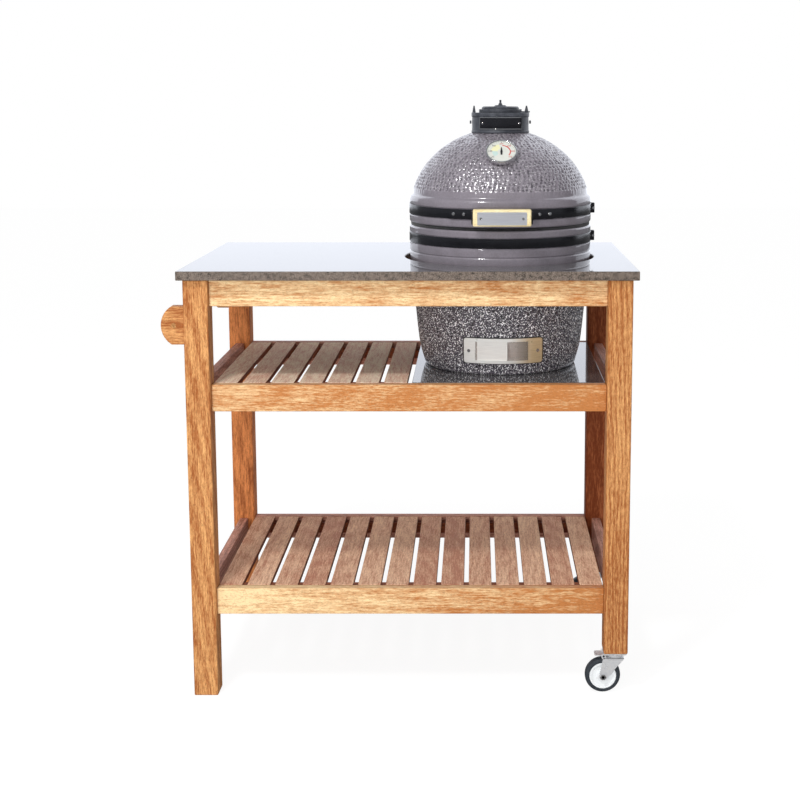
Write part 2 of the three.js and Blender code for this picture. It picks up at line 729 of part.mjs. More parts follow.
// The spring is one wire wound round the pin, with straight ends that meet the cheeks
const springWireRadius = 1.5;
const springPinGap = 0.9;
const springTurns = 8;
const springStepsPerTurn = 8;
const springWireSides = 5;
{
  const start = springCheekX + cheekThickness + seatGap;
  const end = upperCheekX - seatGap;
  const straight = 2 * springWireRadius;
  const radius = hingePinRadius + springPinGap + springWireRadius;
  const steps = springTurns * springStepsPerTurn;
  const coilLength = end - start - 2 * straight;
  const pitch = coilLength / springTurns;
  const path = [new THREE.Vector3(start, radius, 0)];
  for (let i = 0; i <= steps; i += 1) {
    const turn = (i / springStepsPerTurn) * 2 * Math.PI;
    const x = start + straight + (coilLength * i) / steps;
    path.push(new THREE.Vector3(x, radius * Math.cos(turn), radius * Math.sin(turn)));
  }
  path.push(new THREE.Vector3(end, radius, 0));

  const rings = path.map((point, i) => {
    const isEnd = i === 0 || i === path.length - 1;
    const before = path[Math.max(i - 1, 0)];
    const after = path[Math.min(i + 1, path.length - 1)];
    const along = isEnd ? new THREE.Vector3(1, 0, 0) : after.clone().sub(before).normalize();
    const outward = new THREE.Vector3(0, point.y, point.z).normalize();
    const across = along.clone().cross(outward).normalize();
    const square = across.clone().cross(along).normalize();
    return Array.from({ length: springWireSides }, (_, k) => {
      const turn = (k / springWireSides) * 2 * Math.PI;
      const offset = square.clone().multiplyScalar(Math.cos(turn)).addScaledVector(across, Math.sin(turn));
      return point.clone().addScaledVector(offset, springWireRadius);
    });
  });
  const corners = [...rings.flat(), path[0], path[path.length - 1]];
  const faces = [];
  for (let i = 0; i < rings.length - 1; i += 1) {
    for (let k = 0; k < springWireSides; k += 1) {
      const [a, b] = [i * springWireSides + k, i * springWireSides + ((k + 1) % springWireSides)];
      faces.push(a, b, a + springWireSides, b, b + springWireSides, a + springWireSides);
    }
  }
  const lastRing = (rings.length - 1) * springWireSides;
  for (let k = 0; k < springWireSides; k += 1) {
    const next = (k + 1) % springWireSides;
    faces.push(rings.length * springWireSides, next, k);
    faces.push(rings.length * springWireSides + 1, lastRing + k, lastRing + next);
  }
  const wire = new THREE.BufferGeometry().setFromPoints(corners);
  wire.setIndex(faces);
  piece(kamado, "hinge_spring", solid(wire), finishes.zinc, hingePlace);

  let leastGap = Infinity;
  for (let i = 0; i < path.length; i += 1) {
    for (let k = i + springStepsPerTurn / 2; k < path.length; k += 1) {
      leastGap = Math.min(leastGap, path[i].distanceTo(path[k]) - 2 * springWireRadius);
    }
  }
  console.log(`hinge_spring: pitch ${pitch.toFixed(2)} mm, least gap to itself ${leastGap.toFixed(2)} mm`);
}

// Chimney cap on the neck, with a pivot stud on the right and a stop lug on the left
const capRadius = 67.5;
const capOverNeck = 23.58;
const capHeight = neckTop + capOverNeck;
const capRoof = 5;
const capThroatRadius = 42;
const studX = 61;
const studRadius = 3.5;
const studHeadRadius = 5.5;
const studHeight = 16;
const lugWidth = 6;
const plateThickness = 7.7;
const plateRadius = 50;
const earRadius = 8;
const capBoltRadius = 5;
const capBoltReach = 6;
const capBoltDrop = 22;
const plateTop = capHeight + seatGap + plateThickness;
{
  const boreRadius = neckRadius + seatGap;
  const roofUnderside = capHeight - capRoof;
  const housing = revolve([
    [boreRadius, domeHeightAt(boreRadius) + seatGap],
    [capRadius, domeHeightAt(capRadius) + seatGap],
    [capRadius, capHeight],
    [capThroatRadius, capHeight],
    [capThroatRadius, roofUnderside],
    [boreRadius, roofUnderside],
  ], shellSides);
  const headBottom = plateTop + seatGap;
  const stud = revolve([
    [0, capHeight - capRoof / 2],
    [studRadius, capHeight - capRoof / 2],
    [studRadius, headBottom],
    [studHeadRadius, headBottom],
    [studHeadRadius, capHeight + studHeight],
    [0, capHeight + studHeight],
  ], smallSides);
  const standing = stud.translate([studX, 0, 0]);
  const lugXs = [-capRadius + lugWidth / 2, -capRadius + lugWidth / 2 + lugWidth];
  const lugZs = [capHeight - capRoof / 2, capHeight + studHeight];
  const lug = block(lugXs, [-lugWidth / 2, lugWidth / 2], lugZs);
  const bolts = [-1, 1].map((sx) => {
    const ends = rising(sx * (capRadius - capBoltReach), sx * (capRadius + capBoltReach));
    return crossRod("x", capBoltRadius, ...ends, [0, 0, capHeight - capBoltDrop], 6);
  });
  piece(kamado, "chimney_cap", join(housing, standing, lug, ...bolts), finishes.castIron);
}

// Damper plate that swings on the stud, and a daisy wheel that turns on the plate
const petalCount = 5;
const petalRadius = 8;
const petalCircle = 27;
const petalSides = 8;

function petals(bottom, top, phase) {
  return Array.from({ length: petalCount }, (_, i) => {
    const turn = ((i + phase) / petalCount) * 2 * Math.PI;
    const hole = new THREE.CylinderGeometry(petalRadius, petalRadius, top - bottom, petalSides);
    const [x, y] = [petalCircle * Math.cos(turn), petalCircle * Math.sin(turn)];
    return solid(hole.rotateX(Math.PI / 2).translate(x, y, (bottom + top) / 2));
  });
}

{
  const bottom = capHeight + seatGap;
  const disc = rod(plateRadius, bottom, plateTop, innerSides);
  const earEnds = [studX, plateRadius - earRadius].flatMap((x) => circlePoints(earRadius, [x, 0]));
  const earPoints = earEnds.flatMap(([x, y]) => [
    new THREE.Vector3(x, y, bottom),
    new THREE.Vector3(x, y, plateTop),
  ]);
  const ear = solid(new ConvexGeometry(earPoints));
  const pivotHole = solid(
    new THREE.CylinderGeometry(studRadius + seatGap, studRadius + seatGap, studHeight, smallSides)
      .rotateX(Math.PI / 2)
      .translate(studX, 0, capHeight),
  );
  const holes = petals(bottom - cutOverrun, plateTop + cutOverrun, 0);
  piece(kamado, "damper_plate", cut(join(disc, ear), pivotHole, ...holes), finishes.castIron);
}

const daisyRadius = 43.5;
const daisyThickness = 6;
const daisyStep = 3.5;
const daisyHubRadius = 11;
const daisyHubHeight = 5;
const knobNeckRadius = 3;
const knobRadius = 4.5;
const knobHeight = 15;
const knobBall = 5;
{
  const bottom = plateTop + seatGap;
  const top = bottom + daisyThickness;
  const wheel = revolve([
    [0, bottom],
    [daisyRadius, bottom],
    [daisyRadius, top - daisyThickness / 2],
    [daisyRadius - daisyStep, top],
    [daisyHubRadius, top],
    [daisyHubRadius - daisyStep, top + daisyHubHeight],
    [knobNeckRadius, top + daisyHubHeight],
    [knobNeckRadius, top + knobHeight - knobBall],
    [knobRadius, top + knobHeight - knobBall],
    [knobRadius, top + knobHeight],
    [0, top + knobHeight],
  ], innerSides);
  const holes = petals(bottom - cutOverrun, top + cutOverrun, 1 / 2);
  piece(kamado, "daisy_wheel", cut(wheel, ...holes), finishes.castIron);
}

// Draft vent: a screen on the wall, a door that slides round the shell and a frame over both
const screenInner = 0.4;
const screenOuter = 1.2;
const doorInner = 1.8;
const doorOuter = 3.2;
const channelDepth = 3.8;
const frameOuter = 6;
const windowHeight = 44;
const windowLeft = -63;
const windowRight = 56;
const channelHeight = 50;
const channelWidth = 154;
const doorHeight = 48;
const doorLeft = -59;
const doorRight = 9;
const doorTabThickness = 1.6;
const doorTabReach = 12;
const doorTabHeight = 32;
const ventCorner = 7;
const wallSleeve = (inner, outer) => sleeve(baseOutline, ventBottom, ventBottom + ventHeight, inner, outer);
const windowXs = [ventMiddleX + windowLeft, ventMiddleX + windowRight];
{
  const [halfWidth, halfHeight] = [ventWidth / 2, ventHeight / 2];
  const outline = new THREE.Shape();
  outline.moveTo(-halfWidth + ventCorner, -halfHeight);
  outline.lineTo(halfWidth - ventCorner, -halfHeight);
  outline.lineTo(halfWidth, -halfHeight + ventCorner);
  outline.lineTo(halfWidth, halfHeight - ventCorner);
  outline.lineTo(halfWidth - ventCorner, halfHeight);
  outline.lineTo(-halfWidth + ventCorner, halfHeight);
  outline.lineTo(-halfWidth, halfHeight - ventCorner);
  outline.lineTo(-halfWidth, -halfHeight + ventCorner);
  outline.closePath();
  const blank = solid(
    new THREE.ExtrudeGeometry(outline, { depth: kamadoRadius, bevelEnabled: false })
      .rotateX(Math.PI / 2)
      .translate(ventMiddleX, -kamadoRadius / 2, ventMiddleZ),
  );
  const plate = wallSleeve(seatGap, frameOuter).intersect(blank);
  const channel = wallSleeve(0, channelDepth).intersect(
    block(ventXs(channelWidth), frontYs, ventZs(channelHeight)),
  );
  const window = block(windowXs, frontYs, ventZs(windowHeight));
  piece(kamado, "vent_frame", cut(plate, channel, window), finishes.stainless);

  const doorXs = [ventMiddleX + doorLeft, ventMiddleX + doorRight];
  const door = wallSleeve(doorInner, doorOuter).intersect(block(doorXs, frontYs, ventZs(doorHeight)));
  const tabXs = [doorXs[1] - doorTabThickness, doorXs[1]];
  const tabRoot = radiusAt(baseOutline, ventMiddleZ + doorTabHeight / 2) + doorInner;
  const tab = block(tabXs, [-tabRoot - doorTabReach, -tabRoot], ventZs(doorTabHeight));
  piece(kamado, "vent_door", join(door, tab), finishes.stainless);
}

const meshColumns = 8;
const meshRows = 2;
const meshBar = 3;
{
  const screen = wallSleeve(screenInner, screenOuter).intersect(
    block(ventXs(channelWidth - meshBar), frontYs, ventZs(doorHeight)),
  );
  const holes = [];
  const columnPitch = (windowRight - windowLeft) / meshColumns;
  const rowPitch = windowHeight / meshRows;
  for (let i = 0; i < meshColumns; i += 1) {
    for (let k = 0; k < meshRows; k += 1) {
      const left = windowXs[0] + i * columnPitch + meshBar / 2;
      const bottom = ventMiddleZ - windowHeight / 2 + k * rowPitch + meshBar / 2;
      const sides = [left, left + columnPitch - meshBar];
      holes.push(block(sides, frontYs, [bottom, bottom + rowPitch - meshBar]));
    }
  }
  piece(kamado, "vent_screen", cut(screen, ...holes), finishes.stainless);
}

// Fire box and fire ring of fireclay inside the base
const fireBoxHeight = 205;
const fireBoxFloor = 25;
const fireRingHeight = 80;
const fireWall = 20;
const fireBoxGap = 29;
const fireBoxRadius = kamadoRadius - shellWall - fireBoxGap;
const fireBoxShares = [[0.79, 0], [0.914, 0.286], [1, 1]];
const fireBoxOutline = fireBoxShares.map(([r, z]) => [
  r * fireBoxRadius,
  baseFloor + z * (fireBoxHeight - baseFloor),
]);
const ashHoleRadius = 45;
const ashTunnelWidth = 60;
const ashTunnelHeight = 14;
const grateSeatRadius = 90;
{
  const [foot, knee, lip] = fireBoxOutline;
  const innerFloor = baseFloor + fireBoxFloor;
  const outline = [
    [ashHoleRadius, foot[1]],
    foot,
    knee,
    lip,
    [lip[0] - fireWall, lip[1]],
    [knee[0] - fireWall, knee[1]],
    [grateSeatRadius, innerFloor],
    [ashHoleRadius, innerFloor],
  ];
  const tunnel = block([-ashTunnelWidth / 2, ashTunnelWidth / 2], [-knee[0] - cutOverrun, 0], [
    baseFloor + (fireBoxFloor - ashTunnelHeight) / 2,
    baseFloor + (fireBoxFloor + ashTunnelHeight) / 2,
  ]);
  piece(kamado, "fire_box", cut(revolve(outline, innerSides), tunnel), finishes.fireclay);

  const ringTop = fireBoxHeight + fireRingHeight;
  const ring = revolve([
    [lip[0] - fireWall, fireBoxHeight],
    [lip[0], fireBoxHeight],
    [lip[0] + gasketThickness, ringTop],
    [lip[0] - fireWall, ringTop],
  ], innerSides);
  piece(kamado, "fire_ring", ring, finishes.fireclay);
}

// Cast iron fire grate on the fire box floor, and the cooking grid on the fire ring
const grateRadius = 80;
const grateThickness = 6;
const grateHoleRadius = 9;
const grateHoleCircle = 48;
const grateHoleCount = 8;
{
  const bottom = baseFloor + fireBoxFloor;
  const disc = rod(grateRadius, bottom, bottom + grateThickness, innerSides);
  const spots = [[0, 0], ...circlePoints(grateHoleCircle, [0, 0], grateHoleCount)];
  const holes = spots.map(([x, y]) => {
    const drill = new THREE.CylinderGeometry(grateHoleRadius, grateHoleRadius, fireBoxFloor, petalSides);
    return solid(drill.rotateX(Math.PI / 2).translate(x, y, bottom));
  });
  piece(kamado, "fire_grate", cut(disc, ...holes), finishes.castIron);
}

const gridInset = 2;
const gridRadius = fireBoxRadius - gridInset;
const gridBar = 5;
const gridHeight = 6;
const gridBarCount = 9;
{
  const bottom = fireBoxHeight + fireRingHeight;
  const rim = hoop([gridRadius - gridBar, gridRadius], [bottom, bottom + gridHeight], innerSides);
  const bars = Array.from({ length: gridBarCount }, (_, i) => {
    const x = ((i + 1) / (gridBarCount + 1)) * 2 * gridRadius - gridRadius;
    const reach = Math.sqrt(gridRadius ** 2 - x ** 2) - gridBar / 2;
    return block([x - gridBar / 2, x + gridBar / 2], [-reach, reach], [bottom, bottom + gridHeight]);
  });
  const cross = block([-gridRadius + gridBar / 2, gridRadius - gridBar / 2], [-gridBar / 2, gridBar / 2], [
    bottom,
    bottom + gridHeight,
  ]);
  piece(kamado, "cooking_grid", join(rim, cross, ...bars), finishes.castIron);
}

export default kamadoGrillTable;
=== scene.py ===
# Kamado grill table: the finished look of every piece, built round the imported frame
import math
import random
from bisect import bisect_left

import bmesh
import bpy
from mathutils import Matrix, Vector


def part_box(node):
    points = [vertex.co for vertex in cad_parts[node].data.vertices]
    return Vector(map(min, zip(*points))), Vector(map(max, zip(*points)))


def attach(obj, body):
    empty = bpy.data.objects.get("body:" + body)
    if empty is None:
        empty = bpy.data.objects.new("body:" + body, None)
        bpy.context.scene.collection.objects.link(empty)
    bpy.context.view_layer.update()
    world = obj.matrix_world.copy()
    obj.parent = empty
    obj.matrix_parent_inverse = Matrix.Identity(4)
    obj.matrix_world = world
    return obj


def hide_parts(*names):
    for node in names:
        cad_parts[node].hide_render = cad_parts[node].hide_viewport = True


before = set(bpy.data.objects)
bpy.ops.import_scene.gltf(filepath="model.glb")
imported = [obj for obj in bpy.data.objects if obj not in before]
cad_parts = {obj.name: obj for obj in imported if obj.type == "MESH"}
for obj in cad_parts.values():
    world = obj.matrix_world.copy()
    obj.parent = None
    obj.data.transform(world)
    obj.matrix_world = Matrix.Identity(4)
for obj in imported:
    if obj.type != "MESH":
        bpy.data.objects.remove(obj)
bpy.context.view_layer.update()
print("frame loaded")

# Modelling is done in millimetres in the row frame, and each finished piece is scaled once
mm = 0.001
fullTurn = 2 * math.pi
weldDistance = 0.002
sharpAngle = 38
seatGap = 0.3
# The most steps that one spin makes, because a spin slows down with the number of its faces
spinLimit = 48
random.seed(7)
toX = Matrix.Rotation(math.pi / 2, 4, "Y")
toY = Matrix.Rotation(-math.pi / 2, 4, "X")
toFront = Matrix.Rotation(math.pi / 2, 4, "X")
finishes = {}


# Node helpers
def addNode(tree, kind, inputs=None, **settings):
    node = tree.nodes.new(kind)
    for title, value in settings.items():
        setattr(node, title, value)
    for title, value in (inputs or {}).items():
        socket = node.inputs[title]
        if isinstance(value, bpy.types.NodeSocket):
            tree.links.new(value, socket)
        elif socket.type == "RGBA":
            socket.default_value = (*value[:3], 1)
        else:
            socket.default_value = value
    return node


def calc(tree, operation, a, b=0.0, clamp=False):
    return addNode(tree, "ShaderNodeMath", {0: a, 1: b}, operation=operation, use_clamp=clamp).outputs[0]


def spread(tree, vector, factors):
    return addNode(tree, "ShaderNodeVectorMath", {0: vector, 1: factors}, operation="MULTIPLY").outputs[0]


def noiseOf(tree, vector, scale, detail=2.0, distortion=0.0):
    inputs = {"Vector": vector, "Scale": scale, "Detail": detail, "Distortion": distortion}
    return addNode(tree, "ShaderNodeTexNoise", inputs)


def between(tree, value, low, high, start=0.0, end=1.0):
    inputs = {"Value": value, "From Min": low, "From Max": high, "To Min": start, "To Max": end}
    return addNode(tree, "ShaderNodeMapRange", inputs).outputs[0]


def mixColour(tree, share, a, b, mode="MIX"):
    node = addNode(tree, "ShaderNodeMix", {0: share, 6: a, 7: b}, data_type="RGBA", blend_type=mode)
    return node.outputs[2]


def startGroup(name, inputs, outputs):
    tree = bpy.data.node_groups.new(name, "ShaderNodeTree")
    kinds = {"v": "NodeSocketVector", "f": "NodeSocketFloat", "c": "NodeSocketColor"}
    for title, kind in inputs.items():
        tree.interface.new_socket(name=title, in_out="INPUT", socket_type=kinds[kind])
    for title, kind in outputs.items():
        tree.interface.new_socket(name=title, in_out="OUTPUT", socket_type=kinds[kind])
    return tree, tree.nodes.new("NodeGroupInput").outputs, tree.nodes.new("NodeGroupOutput").inputs


def useGroup(tree, group, inputs):
    return addNode(tree, "ShaderNodeGroup", inputs, node_tree=group).outputs


def newMaterial(name, **constants):
    material = bpy.data.materials.new(name)
    material.use_nodes = True
    finishes[name] = material
    shader = material.node_tree.nodes["Principled BSDF"]
    for title, value in constants.items():
        shader.inputs[title.replace("_", " ")].default_value = value
    return material.node_tree, shader


def objectSpace(tree):
    return tree.nodes.new("ShaderNodeTexCoord").outputs["Object"]


def attribute(tree, name, output="Fac"):
    return addNode(tree, "ShaderNodeAttribute", attribute_name=name).outputs[output]


def bumpFrom(tree, shader, height, distance):
    bump = addNode(tree, "ShaderNodeBump", {"Height": height, "Distance": distance})
    tree.links.new(bump.outputs[0], shader.inputs["Normal"])


# Feeds what a group made to the shader, with a bump where its distance is given
def dress(tree, shader, made, bump=0.0):
    tree.links.new(made["Colour"], shader.inputs["Base Color"])
    tree.links.new(made["Roughness"], shader.inputs["Roughness"])
    if bump:
        bumpFrom(tree, shader, made["Height"], bump)


# Noise layers of the grain: stretch along and across, detail, distortion, then what is read and added
grainLayers = {
    "streak": (3, 70, 4, 0.4, (0.3, 0.7, 0, 0.42)),
    "fibre": (24, 330, 3, 0, (0.3, 0.7, -0.12, 0.48)),
    "patch": (4, 16, 3, 0, (0.3, 0.7, -0.02, 0.2)),
    "grit": (75, 330, 2, 0, (0.32, 0.68, -0.26, 0.26)),
    "pores": (240, 1300, 1, 0, (0.58, 0.7, 0, 0.45)),
}
grainBend = {"stretch": (1.6, 7, 7), "detail": 3, "push": (0, 0.05, 0.05), "taper": (0.06, 1, 1)}


# Effects that several materials share
def grainLayer(tree, space, title):
    along, across, detail, distortion, reading = grainLayers[title]
    noise = noiseOf(tree, spread(tree, space, (along, across, across)), 1.0, detail, distortion).outputs[0]
    return noise, between(tree, noise, *reading)


def buildWoodGrain():
    inputs = {"Space": "v", "Tint": "f", "Light": "c", "Dark": "c", "Pore": "c", "RingWidth": "f",
        "Figure": "f"}
    tree, given, made = startGroup("woodGrain", inputs, {"Colour": "c", "Height": "f", "Roughness": "f"})
    space = given["Space"]
    drift = noiseOf(tree, spread(tree, space, grainBend["stretch"]), 1.0, grainBend["detail"]).outputs[1]
    drift = spread(tree, drift, grainBend["push"])
    bent = addNode(tree, "ShaderNodeVectorMath", {0: space, 1: drift}, operation="ADD").outputs[0]
    across = spread(tree, bent, grainBend["taper"])
    distance = addNode(tree, "ShaderNodeVectorMath", {0: across}, operation="LENGTH").outputs[1]
    turns = calc(tree, "DIVIDE", distance, given["RingWidth"])
    rings = calc(tree, "SINE", calc(tree, "MULTIPLY", turns, fullTurn))
    value = calc(tree, "MULTIPLY", between(tree, rings, -0.6, 1.0), given["Figure"])
    noises = {}
    for title in ("streak", "fibre", "patch", "grit"):
        noises[title], added = grainLayer(tree, space, title)
        value = calc(tree, "ADD", value, added)
    # The tint shifts each board's tone, and on some boards it carries painted light and shade
    tint = between(tree, given["Tint"], -0.5, 1.5, -0.6, 0.6)
    value = calc(tree, "ADD", value, tint, clamp=True)
    colour = mixColour(tree, value, given["Light"], given["Dark"])
    pores = grainLayer(tree, space, "pores")[1]
    tree.links.new(mixColour(tree, pores, colour, given["Pore"]), made["Colour"])
    height = calc(tree, "SUBTRACT", calc(tree, "MULTIPLY", noises["fibre"], 0.6), pores)
    tree.links.new(height, made["Height"])
    tree.links.new(between(tree, value, 0.0, 1.0, 0.7, 0.52), made["Roughness"])
    return tree


def buildSpeckle():
    inputs = {"Space": "v", "Scale": "f", "Ground": "c", "Grain": "c", "Fleck": "c", "Cloud": "f"}
    tree, given, made = startGroup("speckle", inputs, {"Colour": "c", "Mask": "f"})
    scaled = addNode(tree, "ShaderNodeVectorMath", {0: given["Space"], 3: given["Scale"]}, operation="SCALE")
    space = scaled.outputs[0]
    grains = between(tree, noiseOf(tree, space, 1.0, 3.0).outputs[0], 0.42, 0.6)
    clouds = noiseOf(tree, space, 0.26, 4.0).outputs[0]
    clouds = calc(tree, "MULTIPLY", between(tree, clouds, 0.35, 0.65), given["Cloud"])
    cells = addNode(tree, "ShaderNodeTexVoronoi", {"Vector": space, "Scale": 0.8}).outputs[0]
    flecks = between(tree, cells, 0.22, 0.1)
    share = calc(tree, "ADD", calc(tree, "MULTIPLY", grains, 0.7), clouds, clamp=True)
    colour = mixColour(tree, share, given["Ground"], given["Grain"])
    tree.links.new(mixColour(tree, flecks, colour, given["Fleck"]), made["Colour"])
    tree.links.new(flecks, made["Mask"])
    return tree


def buildBrushed():
    inputs = {"Space": "v", "Stretch": "v", "Base": "c", "Shade": "c", "Rough": "f", "Spread": "f"}
    outputs = {"Colour": "c", "Roughness": "f", "Height": "f"}
    tree, given, made = startGroup("brushed", inputs, outputs)
    streaks = noiseOf(tree, spread(tree, given["Space"], given["Stretch"]), 1.0, 3.0).outputs[0]
    smudge = noiseOf(tree, given["Space"], 22.0, 3.0).outputs[0]
    share = between(tree, streaks, 0.3, 0.7)
    tree.links.new(mixColour(tree, share, given["Base"], given["Shade"]), made["Colour"])
    rough = calc(tree, "MULTIPLY", between(tree, smudge, 0.3, 0.7, -1.0, 1.0), given["Spread"])
    tree.links.new(calc(tree, "ADD", rough, given["Rough"], clamp=True), made["Roughness"])
    tree.links.new(streaks, made["Height"])
    return tree


def buildWear():
    inputs = {"Space": "v", "Scale": "f", "Clean": "c", "Worn": "c", "Low": "f", "High": "f"}
    tree, given, made = startGroup("wear", inputs, {"Colour": "c", "Roughness": "f", "Height": "f"})
    scaled = addNode(tree, "ShaderNodeVectorMath", {0: given["Space"], 3: given["Scale"]}, operation="SCALE")
    broad = noiseOf(tree, scaled.outputs[0], 0.12, 3.0).outputs[0]
    fine = noiseOf(tree, scaled.outputs[0], 1.0, 4.0).outputs[0]
    mixed = calc(tree, "MULTIPLY", calc(tree, "ADD", broad, fine), 0.5)
    share = between(tree, mixed, 0.38, 0.64)
    tree.links.new(mixColour(tree, share, given["Clean"], given["Worn"]), made["Colour"])
    rise = calc(tree, "SUBTRACT", given["High"], given["Low"])
    rough = calc(tree, "ADD", calc(tree, "MULTIPLY", rise, share), given["Low"])
    tree.links.new(rough, made["Roughness"])
    tree.links.new(fine, made["Height"])
    return tree


woodGrain = buildWoodGrain()
speckle = buildSpeckle()
brushed = buildBrushed()
wear = buildWear()


# Materials of the finishes, each table with its function's values in order
def woodMaterial(name, light, dark, pore, ringWidth, figure, gloss):
    tree, shader = newMaterial(name, Specular_IOR_Level=gloss)
    inputs = {"Space": attribute(tree, "grain", "Vector"), "Tint": attribute(tree, "tint"), "Light": light}
    more = {"Dark": dark, "Pore": pore, "RingWidth": ringWidth, "Figure": figure}
    dress(tree, shader, useGroup(tree, woodGrain, {**inputs, **more}), 0.0006)


def stoneMaterial(name, ground, grain, fleck, roughness, coat, ior):
    tree, shader = newMaterial(name, Roughness=roughness, Coat_Weight=coat, IOR=ior, Coat_IOR=ior,
        Specular_Tint=(0.9, 0.94, 1, 1))
    inputs = {"Space": objectSpace(tree), "Scale": 420.0, "Ground": ground, "Grain": grain, "Fleck": fleck}
    made = useGroup(tree, speckle, {**inputs, "Cloud": 0.8})
    tree.links.new(made["Colour"], shader.inputs["Base Color"])
    bumpFrom(tree, shader, made["Mask"], 0.000006)


def wornMaterial(name, clean, worn, low, high, scale, bump=0.0, constants=None):
    tree, shader = newMaterial(name, **(constants or {}))
    inputs = {"Space": objectSpace(tree), "Scale": scale, "Clean": clean, "Worn": worn}
    dress(tree, shader, useGroup(tree, wear, {**inputs, "Low": low, "High": high}), bump)


# A glaze that is darker in the hollows pressed into the ceramic, partly pooled glaze and partly painted
# shade, with small white spots mixed into its colour as painted glints
def dimpledGlaze(name, clean, worn, pooledAndShaded, glint):
    tree, shader = newMaterial(name, Coat_Weight=1.0, Coat_Roughness=0.05, Coat_IOR=1.65)
    inputs = {"Space": objectSpace(tree), "Scale": 260.0, "Clean": clean, "Worn": worn}
    made = useGroup(tree, wear, {**inputs, "Low": 0.32, "High": 0.44})
    # Darker in the hollows: pooled glaze and painted shade
    poolAndShade = between(tree, attribute(tree, "hollow"), 0.05, 0.7)
    colour = mixColour(tree, poolAndShade, made["Colour"], pooledAndShaded)
    # Painted glints: white spots mixed into the colour
    paintedGlints = noiseOf(tree, objectSpace(tree), 340.0, 1.0).outputs[0]
    paintedGlints = between(tree, paintedGlints, 0.57, 0.63, 0.0, glint)
    colour = mixColour(tree, paintedGlints, colour, (1, 0.98, 1))
    dress(tree, shader, {"Colour": colour, "Roughness": made["Roughness"]})


def brush(tree, shader, base, shade, stretch, rough, variation):
    inputs = {"Space": objectSpace(tree), "Stretch": stretch, "Base": base, "Shade": shade}
    dress(tree, shader, useGroup(tree, brushed, {**inputs, "Rough": rough, "Spread": variation}), 0.00003)


def metalMaterial(name, metallic, *look):
    brush(*newMaterial(name, Metallic=metallic), *look)


# Vent steel whose colour runs from a painted white glare of light on the left to a painted tan reflection
# of the wood on the right
def ventSteel(name, bright, tan, left, right):
    tree, shader = newMaterial(name, Metallic=0.3)
    side = addNode(tree, "ShaderNodeSeparateXYZ", {0: objectSpace(tree)}).outputs[0]
    share = between(tree, side, left, right)
    share = addNode(tree, "ShaderNodeMapRange", {"Value": share}, interpolation_type="SMOOTHSTEP").outputs[0]
    shade = mixColour(tree, share, [c * 0.88 for c in bright], [c * 0.7 for c in tan])
    brush(tree, shader, mixColour(tree, share, bright, tan), shade, (40, 40, 1500), 0.32, 0.06)


